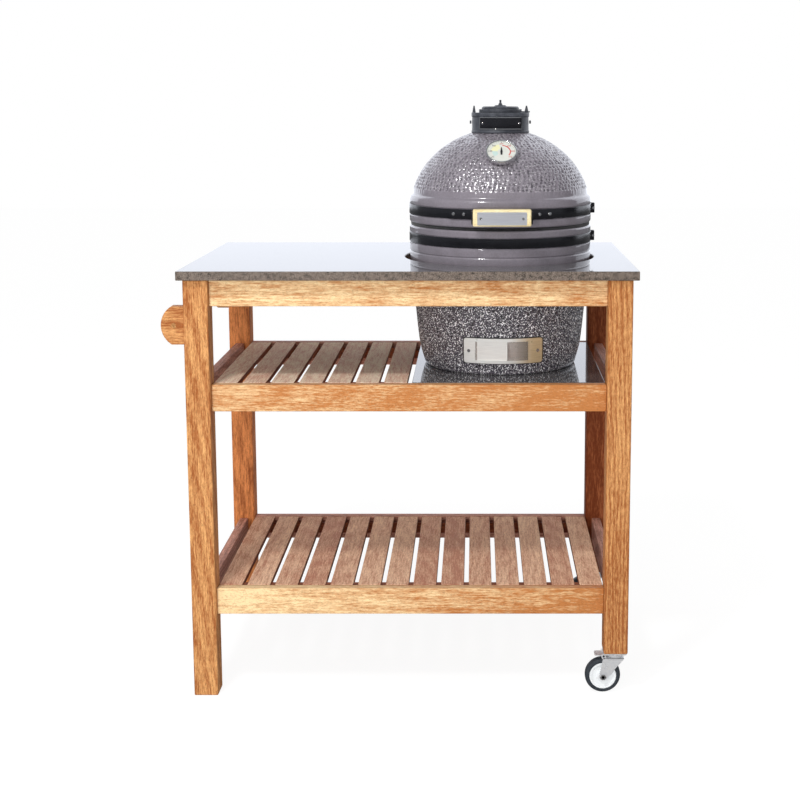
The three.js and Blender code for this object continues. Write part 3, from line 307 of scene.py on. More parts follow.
makers = [
    (woodMaterial, {
        "frameWood": ((0.86, 0.45, 0.17), (0.38, 0.115, 0.026), (0.11, 0.032, 0.009), 0.0075, 0.3, 0.35),
        "railWood": ((1, 0.74, 0.41), (0.56, 0.21, 0.058), (0.2, 0.07, 0.02), 0.009, 0.16, 0.35),
        "rearWood": ((0.85, 0.31, 0.1), (0.29, 0.07, 0.016), (0.1, 0.026, 0.008), 0.009, 0.3, 0.3),
        "slatWood": ((1, 0.68, 0.46), (0.55, 0.235, 0.14), (0.17, 0.06, 0.038), 0.006, 0.2, 0.06),
        "sideWood": ((0.85, 0.45, 0.34), (0.36, 0.15, 0.1), (0.12, 0.042, 0.026), 0.008, 0.3, 0.2),
        # Painted shade, on the rear-right post's front and left faces
        "paintedShadeWood": ((0.5, 0.16, 0.06), (0.19, 0.042, 0.012), (0.08, 0.02, 0.008), 0.009, 0.2, 0.15),
        # A lighter copy of the slat wood, painted light on the mid deck, which lies in the worktop's shade
        "slatWoodPaintedLight": ((1, 0.82, 0.63), (0.7, 0.35, 0.23), (0.24, 0.085, 0.055), 0.006, 0.2, 0.06),
        "shadeWood": ((0.34, 0.1, 0.036), (0.13, 0.026, 0.008), (0.06, 0.014, 0.006), 0.009, 0.2, 0.15),
        "bambooWood": ((0.95, 0.86, 0.58), (0.82, 0.66, 0.34), (0.5, 0.34, 0.14), 0.004, 0.25, 0.4),
    }),
    (stoneMaterial, {
        "stonePolished": ((0.08, 0.08, 0.085), (0.11, 0.105, 0.105), (0.15, 0.148, 0.15), 0.05, 0.3, 1.6),
        "stoneHoned": ((0.035, 0.027, 0.02), (0.2, 0.155, 0.125), (0.52, 0.46, 0.4), 0.36, 0.15, 1.5),
    }),
    (dimpledGlaze, {
        "glazeBase": ((0.11, 0.097, 0.118), (0.075, 0.065, 0.082), (0.01, 0.009, 0.013), 1.0),
        "glaze": ((0.27, 0.24, 0.277), (0.2, 0.176, 0.205), (0.08, 0.069, 0.085), 0.25),
    }),
    (wornMaterial, {
        "glazeSmooth": ((0.245, 0.22, 0.253), (0.195, 0.173, 0.2), 0.3, 0.4, 260, 0,
            {"Coat_Weight": 1.0, "Coat_Roughness": 0.04, "Coat_IOR": 1.65}),
        "blackGloss": ((0.003, 0.003, 0.005), (0.008, 0.008, 0.011), 0.1, 0.2, 500, 0.00012, {"IOR": 1.62}),
        "feltRing": ((0.006, 0.006, 0.007), (0.02, 0.02, 0.022), 0.9, 1.0, 900, 0.0006,
            {"Sheen_Weight": 0.3}),
        "castIron": ((0.03, 0.033, 0.042), (0.085, 0.092, 0.11), 0.34, 0.5, 520, 0.0005,
            {"Specular_IOR_Level": 0.7}),
        "castDark": ((0.03, 0.033, 0.038), (0.055, 0.058, 0.065), 0.4, 0.6, 520, 0.0003),
        "fireclay": ((0.5, 0.4, 0.28), (0.33, 0.25, 0.17), 0.85, 0.95, 160, 0.0009),
        "rubber": ((0.024, 0.031, 0.04), (0.046, 0.055, 0.066), 0.5, 0.7, 400, 0.0002),
        "wheelPlastic": ((0.92, 0.94, 0.95), (0.82, 0.86, 0.88), 0.3, 0.42, 300),
        "dialEnamel": ((0.72, 0.74, 0.69), (0.66, 0.67, 0.61), 0.25, 0.35, 700),
        "zoneYellow": ((0.84, 0.82, 0.52), (0.8, 0.77, 0.46), 0.3, 0.4, 700),
        "zoneGreen": ((0.58, 0.72, 0.68), (0.5, 0.66, 0.62), 0.3, 0.4, 700),
        "zoneRed": ((0.62, 0.05, 0.04), (0.5, 0.04, 0.035), 0.3, 0.4, 700),
        "inkBlack": ((0.012, 0.012, 0.014), (0.02, 0.02, 0.022), 0.3, 0.45, 700),
    }),
    (metalMaterial, {
        "brushedPlate": (0.7, (0.84, 0.85, 0.9), (0.7, 0.71, 0.76), (25, 900, 1200), 0.36, 0.05),
        "polishedSteel": (1.0, (0.85, 0.85, 0.84), (0.7, 0.7, 0.7), (300, 300, 300), 0.14, 0.06),
        "zincPlate": (0.5, (0.95, 0.96, 0.97), (0.84, 0.85, 0.88), (160, 160, 160), 0.34, 0.1),
    }),
    (ventSteel, {
        "ventPlate": ((1, 0.99, 0.96), (0.78, 0.58, 0.34), 0.235, 0.3),
        "ventMesh": ((0.72, 0.64, 0.6), (0.4, 0.34, 0.28), 0.235, 0.29),
    }),
]
for maker, looks in makers:
    for name, look in looks.items():
        maker(name, *look)
print("materials made")


# Shape helpers
def boxOf(node):
    lowCorner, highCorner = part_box(node)
    return [c / mm for c in lowCorner], [c / mm for c in highCorner]


def soften(shape, edges, ease, segments=3):
    made = bmesh.ops.bevel(shape, geom=edges, offset=ease, offset_type="OFFSET", segments=segments,
        profile=0.5, affect="EDGES", material=-1)
    for face in made["faces"]:
        face.smooth = True


def roundBox(lowCorner, highCorner, ease, segments=3):
    shape = bmesh.new()
    bmesh.ops.create_cube(shape, size=1)
    size = [b - a for a, b in zip(lowCorner, highCorner)]
    middle = [(a + b) / 2 for a, b in zip(lowCorner, highCorner)]
    bmesh.ops.scale(shape, vec=size, verts=shape.verts)
    bmesh.ops.translate(shape, vec=middle, verts=shape.verts)
    if ease:
        soften(shape, list(shape.edges), ease, segments)
    return shape


# An outline of (a, b, ease) corners, each eased by a short curve
def eased(corners, steps=5):
    outline = []
    for i, (a, b, ease) in enumerate(corners):
        corner = Vector((a, b))
        if not ease:
            outline.append((a, b))
            continue
        before = Vector(corners[i - 1][:2]) - corner
        after = Vector(corners[(i + 1) % len(corners)][:2]) - corner
        start = corner + before.normalized() * ease
        end = corner + after.normalized() * ease
        for k in range(steps + 1):
            share = k / steps
            point = start * (1 - share) ** 2 + corner * 2 * share * (1 - share) + end * share ** 2
            outline.append((point.x, point.y))
    return outline


def vertsIn(items):
    return [item for item in items if isinstance(item, bmesh.types.BMVert)]


def allOf(shape):
    return shape.verts[:] + shape.edges[:] + shape.faces[:]


def copyOf(shape, items):
    return vertsIn(bmesh.ops.duplicate(shape, geom=items)["geom"])


def thicken(shape, height):
    made = bmesh.ops.extrude_face_region(shape, geom=shape.faces[:], use_keep_orig=True)
    bmesh.ops.translate(shape, vec=(0, 0, height), verts=vertsIn(made["geom"]))


def aboutZ(angle):
    return Matrix.Rotation(angle, 4, "Z")


# A shape of revolution about Z from (radius, height) points
def spun(outline, steps, closed=False, turn=fullTurn):
    shape = bmesh.new()
    points = [shape.verts.new((radius, 0, height)) for radius, height in outline]
    pairs = list(zip(points, points[1:]))
    if closed:
        pairs.append((points[-1], points[0]))
    edges = [shape.edges.new(pair) for pair in pairs]
    whole = turn > fullTurn - 0.001
    sectors = 1
    while steps / sectors > spinLimit and steps % (2 * sectors) == 0:
        sectors *= 2
    bmesh.ops.spin(shape, geom=points + edges, cent=(0, 0, 0), axis=(0, 0, 1), angle=turn / sectors,
        steps=steps // sectors, use_merge=whole and sectors == 1)
    while sectors > 1:
        sectors //= 2
        around = Matrix.Rotation(turn / sectors / 2, 3, "Z")
        bmesh.ops.rotate(shape, verts=copyOf(shape, allOf(shape)), cent=(0, 0, 0), matrix=around)
    bmesh.ops.remove_doubles(shape, verts=shape.verts, dist=weldDistance)
    if not whole:
        rims = [edge for edge in shape.edges if edge.is_boundary]
        bmesh.ops.holes_fill(shape, edges=rims, sides=len(outline) + 1)
    for face in shape.faces:
        face.smooth = True
    return shape


# A shape of revolution from (radius, height, ease) corners
def lathe(corners, fine, steps, closed=False, turn=fullTurn):
    return spun(eased(corners, fine), steps, closed, turn)


# A profile of (radius, height, ease) corners at a height
def lifted(corners, height):
    return [(radius, z + height, ease) for radius, z, ease in corners]


# A profile and its mirror image in height
def mirrored(side):
    return side + [(radius, -z, ease) for radius, z, ease in reversed(side)]


# A ring, or a part of one, with a four-sided section that has its own ease inside and outside
def ringOf(radii, heights, eases, fine, steps, turn=fullTurn):
    (inner, outer), (bottom, top), (inside, outside) = radii, heights, eases
    corners = [(inner, bottom, inside), (outer, bottom, outside), (outer, top, outside), (inner, top, inside)]
    return lathe(corners, fine, steps, True, turn)


# A rod along Z with eased ends
def rod(radius, length, ease=0.5, steps=32):
    return lathe([(0, 0, 0), (radius, 0, ease), (radius, length, ease), (0, length, 0)], 3, steps)


# Gives a plate flat caps, smooth walls and eased rims where a rim turns by more than an angle
def easePlate(shape, ease, least):
    bmesh.ops.recalc_face_normals(shape, faces=shape.faces)
    for item in shape.faces:
        item.smooth = abs(item.normal.z) < 0.5
    rims = [edge for edge in shape.edges if any(abs(face.normal.z) > 0.9 for face in edge.link_faces)]
    if ease:
        soften(shape, [edge for edge in rims if edge.calc_face_angle(0) > least], ease, 2)
    return shape


# A flat plate from an outline, thickened along Z
def plate(outline, thickness, ease=0.0):
    shape = bmesh.new()
    shape.faces.new([shape.verts.new((a, b, 0)) for a, b in outline])
    thicken(shape, thickness)
    return easePlate(shape, ease, math.radians(60))


# The hull of some (a, b) points, thickened along Z
def hullPlate(points, thickness, ease=0.0):
    shape = bmesh.new()
    for height in (0, thickness):
        for a, b in points:
            shape.verts.new((a, b, height))
    bmesh.ops.convex_hull(shape, input=shape.verts)
    bmesh.ops.dissolve_limit(shape, angle_limit=math.radians(1), verts=shape.verts, edges=shape.edges)
    return easePlate(shape, ease, -1)


def arcPoints(radius, centre, start, end, steps):
    turns = [start + (end - start) * k / steps for k in range(steps + 1)]
    return [(centre[0] + radius * math.cos(t), centre[1] + radius * math.sin(t)) for t in turns]


def placed(shape, place, turn=None):
    shape.transform(Matrix.Translation(place) @ (turn or Matrix.Identity(4)))
    return shape


def painted(shape, index):
    for face in shape.faces:
        face.material_index = index
    return shape


def joined(shapes):
    whole = bmesh.new()
    for shape in shapes:
        passing = bpy.data.meshes.new("passing")
        shape.to_mesh(passing)
        shape.free()
        whole.from_mesh(passing)
        bpy.data.meshes.remove(passing)
    return whole


# What is left of a shape when another is cut away from it
def cutAway(shape, cutter):
    parts = []
    for item in (shape, cutter):
        bmesh.ops.recalc_face_normals(item, faces=item.faces)
        mesh = bpy.data.meshes.new("cutting")
        item.to_mesh(mesh)
        item.free()
        parts.append(bpy.data.objects.new("cutting", mesh))
        bpy.context.scene.collection.objects.link(parts[-1])
    modifier = parts[0].modifiers.new("cut", "BOOLEAN")
    modifier.operation = "DIFFERENCE"
    modifier.solver = "EXACT"
    modifier.object = parts[1]
    left = bmesh.new()
    left.from_object(parts[0], bpy.context.evaluated_depsgraph_get())
    for part in parts:
        mesh = part.data
        bpy.data.objects.remove(part)
        bpy.data.meshes.remove(mesh)
    return left


def makePiece(name, shapes, materials, body, stands=()):
    whole = joined(shapes)
    bmesh.ops.recalc_face_normals(whole, faces=whole.faces)
    whole.transform(Matrix.Scale(mm, 4))
    mesh = bpy.data.meshes.new(name)
    whole.to_mesh(mesh)
    whole.free()
    # Marking the sharp edges would make flat faces smooth, so their flags are kept and set again
    smooth = [face.use_smooth for face in mesh.polygons]
    mesh.set_sharp_from_angle(angle=math.radians(sharpAngle))
    mesh.polygons.foreach_set("use_smooth", smooth)
    for material in materials:
        mesh.materials.append(finishes[material])
    piece = bpy.data.objects.new(name, mesh)
    bpy.context.scene.collection.objects.link(piece)
    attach(piece, body)
    if stands:
        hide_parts(*stands)


def paintNode(name, material):
    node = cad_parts[name]
    node.data.materials.clear()
    node.data.materials.append(finishes[material])


# A wooden board whose grain runs along one axis, with its own stretch of grain and its own tint.
# The tint can run from a start to an end value along the board, which on some boards is painted light and
# shade
def board(lowCorner, highCorner, ease, along, segments=3, shape=None, shades=None):
    shape = shape or roundBox(lowCorner, highCorner, ease, segments)
    grain = shape.verts.layers.float_vector.new("grain")
    tint = shape.verts.layers.float.new("tint")
    middle = [(a + b) / 2 for a, b in zip(lowCorner, highCorner)]
    order = [along, (along + 1) % 3, (along + 2) % 3]
    heart = Vector((random.uniform(0, 9000), random.uniform(20, 70), random.uniform(-60, 60)))
    shade = random.random()
    start, end = shades or (shade, shade)
    for vert in shape.verts:
        offset = Vector([vert.co[axis] - middle[axis] for axis in order])
        vert[grain] = (offset + heart) * mm
        vert[tint] = start + (end - start) * (offset.x / (highCorner[along] - lowCorner[along]) + 0.5)
    return shape


# A round-headed screw along Z with a round socket, as shares of its radius and height
def screwHead(radius, height, socket=0.42, chamfer=0.7, step=0.35):
    low = height * step
    corners = [(0, low, 0), (radius * socket, low, 0), (radius * socket * 1.1, height, 0.1)]
    corners += [(radius * chamfer, height, 0.3), (radius, low, 0.3), (radius, 0, 0), (0, 0, 0)]
    return lathe(corners, 3, 20)


# A six-sided head along Z
def hexHead(radius, height, ease=0.4):
    return plate(arcPoints(radius, (0, 0), 0, fullTurn * 5 / 6, 5), height, ease)


# Camera, world, lamp and floor
view = {"focal": 1371.08, "frame": 800, "centre": 476.51, "pitch": 8.0826, "shiftY": -0.13,
    "place": (0.16828, -3.2333, 1.32709)}
camera = bpy.data.objects.new("camera", bpy.data.cameras.new("camera"))
camera.data.sensor_width = 36
camera.data.lens = view["focal"] / view["frame"] * camera.data.sensor_width
camera.data.shift_x = (view["frame"] / 2 - view["centre"]) / view["frame"]
camera.data.shift_y = view["shiftY"]
camera.location = view["place"]
camera.rotation_euler = (math.radians(90 - view["pitch"]), 0, 0)
bpy.context.scene.collection.objects.link(camera)
bpy.context.scene.camera = camera
bpy.context.scene.view_settings.view_transform = "Standard"

studio = {"ambient": 0.52, "front": 0.28, "back": 1.42, "turnLow": 0.46, "turnHigh": 0.5, "leftShift": -0.14,
    "rightShift": 0.12, "shiftReach": 0.3, "strip": 0.75, "stripTurn": (-0.04, 0.1), "stripSide": (0.4, 0.6),
    "mirrored": (0.93, 0.965, 1.05)}


def buildWorld():
    world = bpy.data.worlds.new("studio")
    world.use_nodes = True
    bpy.context.scene.world = world
    tree = world.node_tree
    background = tree.nodes["Background"]
    background.inputs["Color"].default_value = (1, 1, 1, 1)
    path = tree.nodes.new("ShaderNodeLightPath").outputs
    direction = tree.nodes.new("ShaderNodeTexCoord").outputs["Generated"]
    facing = addNode(tree, "ShaderNodeVectorMath", {0: direction, 1: (0, 1, 0)}, operation="DOT_PRODUCT")
    right = addNode(tree, "ShaderNodeSeparateXYZ", {0: direction}).outputs[0]
    reach = studio["shiftReach"]
    shift = between(tree, right, -reach, reach, studio["leftShift"], studio["rightShift"])
    turned = calc(tree, "ADD", facing.outputs[1], shift)
    strip = between(tree, turned, *studio["stripTurn"])
    strip = calc(tree, "MULTIPLY", strip, between(tree, right, *studio["stripSide"]))
    front = between(tree, strip, 0.0, 1.0, studio["front"], studio["front"] * (1 - studio["strip"]))
    sides = between(tree, turned, studio["turnLow"], studio["turnHigh"], front, studio["back"])
    seen = calc(tree, "MAXIMUM", path["Is Camera Ray"], path["Is Transmission Ray"])
    gloss = calc(tree, "SUBTRACT", path["Is Glossy Ray"], seen, clamp=True)
    rest = calc(tree, "SUBTRACT", calc(tree, "SUBTRACT", 1.0, seen), gloss, clamp=True)
    level = calc(tree, "ADD", seen, calc(tree, "MULTIPLY", gloss, sides))
    level = calc(tree, "ADD", level, calc(tree, "MULTIPLY", rest, studio["ambient"]))
    tree.links.new(level, background.inputs["Strength"])
    tree.links.new(mixColour(tree, gloss, (1, 1, 1), studio["mirrored"]), background.inputs["Color"])


buildWorld()

softbox = {"target": "dome_shell", "distance": 3.3, "azimuth": -28, "rise": 43, "size": 0.42, "power": 42}
fillLight = {"target": "mid_rail_front", "distance": 3.2, "azimuth": -14, "rise": 8, "size": 1.9, "power": 52}


def addLamp(name, settings, mirrored):
    turn = math.radians(settings["azimuth"])
    rise = math.radians(settings["rise"])
    low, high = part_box(settings["target"])
    away = Vector((math.sin(turn) * math.cos(rise), -math.cos(turn) * math.cos(rise), math.sin(rise)))
    lamp = bpy.data.objects.new(name, bpy.data.lights.new(name, "AREA"))
    lamp.data.size = settings["size"]
    lamp.data.energy = settings["power"]
    lamp.location = (low + high) / 2 + away * settings["distance"]
    lamp.rotation_euler = away.to_track_quat("Z", "Y").to_euler()
    lamp.visible_glossy = mirrored
    bpy.context.scene.collection.objects.link(lamp)


addLamp("softbox", softbox, True)
addLamp("fillLight", fillLight, False)

# The floor glows for the camera and through glass, and is plain pale or grey for all other rays
floorSettings = {"reach": 14, "glow": 0.9, "share": 0.18, "pale": 0.86, "mirrored": 0.2}


def addFloor():
    shape = bmesh.new()
    bmesh.ops.create_grid(shape, x_segments=1, y_segments=1, size=floorSettings["reach"])
    mesh = bpy.data.meshes.new("floor")
    shape.to_mesh(mesh)
    shape.free()
    floor = bpy.data.objects.new("floor", mesh)
    bpy.context.scene.collection.objects.link(floor)
    tree, shader = newMaterial("floorPaint", Roughness=0.9)
    glow = addNode(tree, "ShaderNodeEmission", {"Strength": floorSettings["glow"]})
    soft = addNode(tree, "ShaderNodeBsdfDiffuse", {"Color": (floorSettings["share"],) * 3})
    lit = addNode(tree, "ShaderNodeAddShader", {0: glow.outputs[0], 1: soft.outputs[0]})
    path = tree.nodes.new("ShaderNodeLightPath").outputs
    pale, grey = (floorSettings["pale"],) * 3, (floorSettings["mirrored"],) * 3
    tree.links.new(mixColour(tree, path["Is Glossy Ray"], pale, grey), shader.inputs["Base Color"])
    seen = calc(tree, "MAXIMUM", path["Is Camera Ray"], path["Is Transmission Ray"])
    chosen = addNode(tree, "ShaderNodeMixShader", {0: seen, 1: shader.outputs[0], 2: lit.outputs[0]})
    tree.links.new(chosen.outputs[0], tree.nodes["Material Output"].inputs["Surface"])
    mesh.materials.append(finishes["floorPaint"])


addFloor()
print("camera, world, lamp and floor set")


# Stone slabs, polished on top and honed elsewhere
stone = {"arris": 1.6, "hearthArris": 1.2, "holeGap": 9.5, "holeShift": -2, "holeSteps": 160, "overrun": 6}
baseLow, baseHigh = boxOf("base_shell")
grillX = (baseLow[0] + baseHigh[0]) / 2
grillFoot = baseLow[2]
grillRadius = (baseHigh[0] - baseLow[0]) / 2
grillAt = (grillX, 0, grillFoot)
onAxis = (grillX, 0, 0)


def makeSlab(name, node, slab):
    slab.normal_update()
    for face in slab.faces:
        face.material_index = 0 if face.normal.z > 0.9 else 1
    makePiece(name, [slab], ["stonePolished", "stoneHoned"], "root", [node])


def makeStone():
    low, high = boxOf("worktop_slab")
    slab = roundBox(low, high, stone["arris"])
    reach = grillRadius + stone["holeGap"]
    bottom, top = low[2] - stone["overrun"], high[2] + stone["overrun"]
    wide = reach + stone["arris"] + stone["overrun"]
    corners = [(0, bottom, 0), (wide, bottom, 0), (reach, low[2] + stone["arris"], 0.5)]
    corners += [(reach, high[2] - stone["arris"], 0.5), (wide, top, 0), (0, top, 0)]
    cutter = lathe(corners, 5, stone["holeSteps"])
    slab = cutAway(slab, placed(cutter, (grillX + stone["holeShift"], 0, 0)))
    makeSlab("worktopStone", "worktop_slab", slab)
    makeSlab("hearthStone", "hearth_slab", roundBox(*boxOf("hearth_slab"), stone["hearthArris"]))


makeStone()
print("stone slabs made")


# Posts, rails, brackets and push bar. Each pair gives the tint at a board's start and end.
# The front rails' pairs make a painted wash of lamp light at their left ends, the rear-left
# post's pair is painted light and the rear-right post's pair is painted shade
timber = {"innerSlope": -0.6, "postEase": 3.0, "railEase": 2.0, "bracketEase": 2.2, "bracketStraight": 29,
    "bracketSteps": 28, "barTenon": 7, "front_left": (0.35, 0.6), "front_right": (0.75, 0.45),
    "rear_left": (0.1, 0.1), "rear_right": (1, 1), "apron": (0.1, 0.6), "mid_rail": (0.65, 1.4),
    "low_rail": (-0.3, 1.3), "bracket": (0.4, 0.7)}


def makePosts():
    for side in ("left", "right"):
        for end in ("front", "rear"):
            node = f"post_{end}_{side}"
            woods = ["frameWood" if end == "front" else "rearWood"]
            shape = board(*boxOf(node), timber["postEase"], 2, shades=timber[f"{end}_{side}"])
            # The rear-right post's faces that face the front and the left take the second, darker wood:
            # painted shade cast by the grill
            if node == "post_rear_right":
                woods.append("paintedShadeWood")
                shape.normal_update()
                for face in shape.faces:
                    inward = min(face.normal.x, face.normal.y) < timber["innerSlope"]
                    face.material_index = 1 if inward else 0
            makePiece(f"post.{end}.{side}", [shape], woods, "root", [node])


def makeRails():
    for level in ("apron", "mid_rail", "low_rail"):
        for side, along in (("front", 0), ("rear", 0), ("left", 1), ("right", 1)):
            node = f"{level}_{side}"
            wood = "railWood" if side == "front" else "rearWood" if node == "apron_rear" else "sideWood"
            shades = timber[level] if side == "front" else None
            shape = board(*boxOf(node), timber["railEase"], along, shades=shades)
            makePiece(f"rail.{level}.{side}", [shape], [wood], "root", [node])


def makePushBar():
    for end in ("front", "rear"):
        node = f"handle_bracket_{end}"
        low, high = boxOf(node)
        half = (high[2] - low[2]) / 2
        middle = (low[2] + high[2]) / 2
        sagitta = high[0] - low[0] - timber["bracketStraight"]
        radius = (half ** 2 + sagitta ** 2) / (2 * sagitta)
        opening = math.asin(half / radius)
        outline = [(high[0], middle + half)]
        outline += arcPoints(radius, (low[0] + radius, middle), math.pi - opening, math.pi + opening,
            timber["bracketSteps"])
        outline += [(high[0], middle - half)]
        shape = plate(outline, high[1] - low[1], timber["bracketEase"])
        placed(shape, (0, high[1], 0), toFront)
        shape = board(low, high, 0, 0, shape=shape, shades=timber["bracket"])
        makePiece(f"bracket.{end}", [shape], ["frameWood"], "root", [node])
    low, high = boxOf("push_bar")
    inner = boxOf("handle_bracket_rear")[0][1]
    radius = (high[2] - low[2]) / 2
    corners = [(0, low[1], 0), (timber["barTenon"], low[1], 1), (timber["barTenon"], -inner, 0)]
    corners += [(radius, -inner, 0.6), (radius, inner, 0.6), (timber["barTenon"], inner, 0)]
    corners += [(timber["barTenon"], high[1], 1), (0, high[1], 0)]
    bar = placed(lathe(corners, 3, 40), ((low[0] + high[0]) / 2, 0, (low[2] + high[2]) / 2), toY)
    bar = board(low, high, 0, 1, shape=bar)
    makePiece("pushBar", [bar], ["frameWood"], "root", ["push_bar"])


makePosts()
makeRails()
makePushBar()
print("frame and push bar made")


# Slatted decks
deck = {"count": 14, "gap": 10.615, "thickness": 13, "ease": 2.4, "endGap": 3, "battenWidth": 22, "letIn": 1,
    "battenHeight": 20, "seat": 19, "combWidth": 30, "combDrop": 4, "bearerWidth": 30, "bearerHeight": 34,
    "bearerSpread": 238, "bearerGap": 0.2, "battenEase": 1.2, "topSlope": 0.6, "low": (0.15, 0.95),
    "mid": (0, 0.35)}


def slatsOf(node, count, left, width, tints):
    low, high = boxOf(node)
    top = high[2]
    reach = high[1] - deck["endGap"]
    shapes = []
    for i in range(count):
        start = left + i * (width + deck["gap"])
        corners = [(start, -reach, top - deck["thickness"]), (start + width, reach, top)]
        tint = random.uniform(*tints)
        slat = board(*corners, deck["ease"], 1, shades=(tint, tint))
        slat.normal_update()
        for face in slat.faces:
            face.material_index = 0 if face.normal.z > deck["topSlope"] else 1
        shapes.append(slat)
    return shapes


# Battens under a deck, lower beyond their end. The front one is a comb that rises between the slats
def battensOf(node, left, end, right):
    low, high = boxOf(node)
    outer = high[1]
    inner = outer - deck["battenWidth"]
    foot = high[2] - deck["seat"] - deck["battenHeight"]
    comb = (end, -outer + deck["combWidth"], high[2] - deck["combDrop"])
    corners = [(left, -outer, foot), comb]
    corners += [(left, inner, foot), (end, outer, high[2] - deck["thickness"] + deck["letIn"])]
    if right > end:
        top = high[2] - deck["seat"] - seatGap
        corners += [(end, -outer, foot), (right, -inner, top), (end, inner, foot), (right, outer, top)]
    return [board(a, b, deck["battenEase"], 0) for a, b in zip(corners[::2], corners[1::2])]


def makeDecks():
    lowDeck, highDeck = boxOf("low_deck")
    left, right = lowDeck[0], highDeck[0]
    width = (right - left - (deck["count"] - 1) * deck["gap"]) / deck["count"]
    slats = slatsOf("low_deck", deck["count"], left, width, deck["low"])
    makePiece("lowSlats", slats, ["slatWood", "shadeWood"], "root", ["low_deck"])
    makePiece("lowBattens", battensOf("low_deck", left, right, right), ["shadeWood"], "root")
    # The mid slats take the lighter slat wood and lighter tints, painted light under the worktop
    slats = slatsOf("mid_deck", deck["count"] // 2, left, width, deck["mid"])
    makePiece("midSlats", slats, ["slatWoodPaintedLight", "shadeWood"], "root", ["mid_deck"])
    end = left + deck["count"] / 2 * (width + deck["gap"]) - deck["gap"]
    battens = battensOf("mid_deck", left, end, right)
    low, high = boxOf("mid_deck")
    top = high[2] - deck["seat"] - seatGap
    reach = high[1] - deck["battenWidth"] - deck["bearerGap"]
    for sign in (-1, 1):
        middle = grillX + sign * deck["bearerSpread"] / 2
        near = (middle - deck["bearerWidth"] / 2, -reach, top - deck["bearerHeight"])
        far = (middle + deck["bearerWidth"] / 2, reach, top)
        battens.append(board(near, far, deck["battenEase"], 1))
    makePiece("midBattens", battens, ["shadeWood"], "root")


makeDecks()
print("decks made")


# Sizes of the steel bands, which the ceramic is stepped for
band = {"gap": -1.5, "thickness": 2.4, "height": 22, "ease": 0.9, "earGap": 8, "earThickness": 4,
    "earReach": 8.4, "earOverhang": 3, "earTrim": 2.4, "earEase": 1.2}
bandInner = grillRadius + band["gap"]
bandOuter = bandInner + band["thickness"]


def bandBottom(node):
    return boxOf(node)[0][2] + band["earOverhang"]


# Ceramic shells with their dimpled glaze, in heights above the grill's foot
shell = {"wall": 22, "floor": 30, "floorBlend": 12, "collar": 256, "rimEase": 5, "steps": 640,
    "skinStep": 2.1, "cell": 10.5, "pitch": 8.2, "baseDepth": 2.9, "domeDepth": 2.4, "reach": 5.4,
    "jitter": 1.6, "unevenness": 0.6, "baseTexture": (8, 236), "domeTexture": (416, 553), "recess": 1.6,
    "recessBelow": 2, "baseBead": 270, "beadHalf": 2.4, "shoulder": (204.6, 402.5), "straight": 21,
    "rise": 194, "neck": 55, "neckHeight": 20, "neckWall": 10, "innerStep": 26, "skinSteps": 128,
    "innerSteps": 24, "draftWidth": 104, "draftHeight": 40}
# The base's outer radius as shares of the grill's, at shares of the collar's height
baseShares = [(0.84, 0.02), (0.888, 0.168), (0.912, 0.3), (0.936, 0.5), (0.97, 0.76), (1, 1)]
vent = {"middleX": 4.6, "middleZ": 58.5}
baseTop = baseHigh[2] - grillFoot
domeBottom = boxOf("dome_shell")[0][2] - grillFoot
domeMiddle = domeBottom + shell["straight"]


# The base's outer radius at a height: a smooth curve through its shares
def baseRadius(height):
    points = [(z * shell["collar"], r * grillRadius) for r, z in baseShares]
    if height >= points[-1][0]:
        return points[-1][1]
    height = max(height, points[0][0])
    i = max(1, bisect_left([z for z, r in points], height))
    (z0, r0), (z1, r1) = points[i - 1], points[i]
    before = points[i - 2] if i > 1 else (2 * z0 - z1, 2 * r0 - r1)
    after = points[i + 1] if i + 1 < len(points) else (2 * z1 - z0, r1)
    slope0 = (r1 - before[1]) / (z1 - before[0]) * (z1 - z0)
    slope1 = (after[1] - r0) / (after[0] - z0) * (z1 - z0)
    t = (height - z0) / (z1 - z0)
    start = (2 * t ** 3 - 3 * t ** 2 + 1) * r0 + (t ** 3 - 2 * t ** 2 + t) * slope0
    return start + (3 * t ** 2 - 2 * t ** 3) * r1 + (t ** 3 - t ** 2) * slope1


def domeHeight(radius):
    return domeMiddle + shell["rise"] * math.sqrt(1 - (radius / grillRadius) ** 2)


def domeArc(radius, rise, turns):
    return [(radius * math.cos(turn), domeMiddle + rise * math.sin(turn)) for turn in turns]


# Where a value lies in a rising list: the place above it, and its share of the way there
def locate(values, wanted):
    i = min(max(1, bisect_left(values, wanted)), len(values) - 1)
    return i, (wanted - values[i - 1]) / (values[i] - values[i - 1])


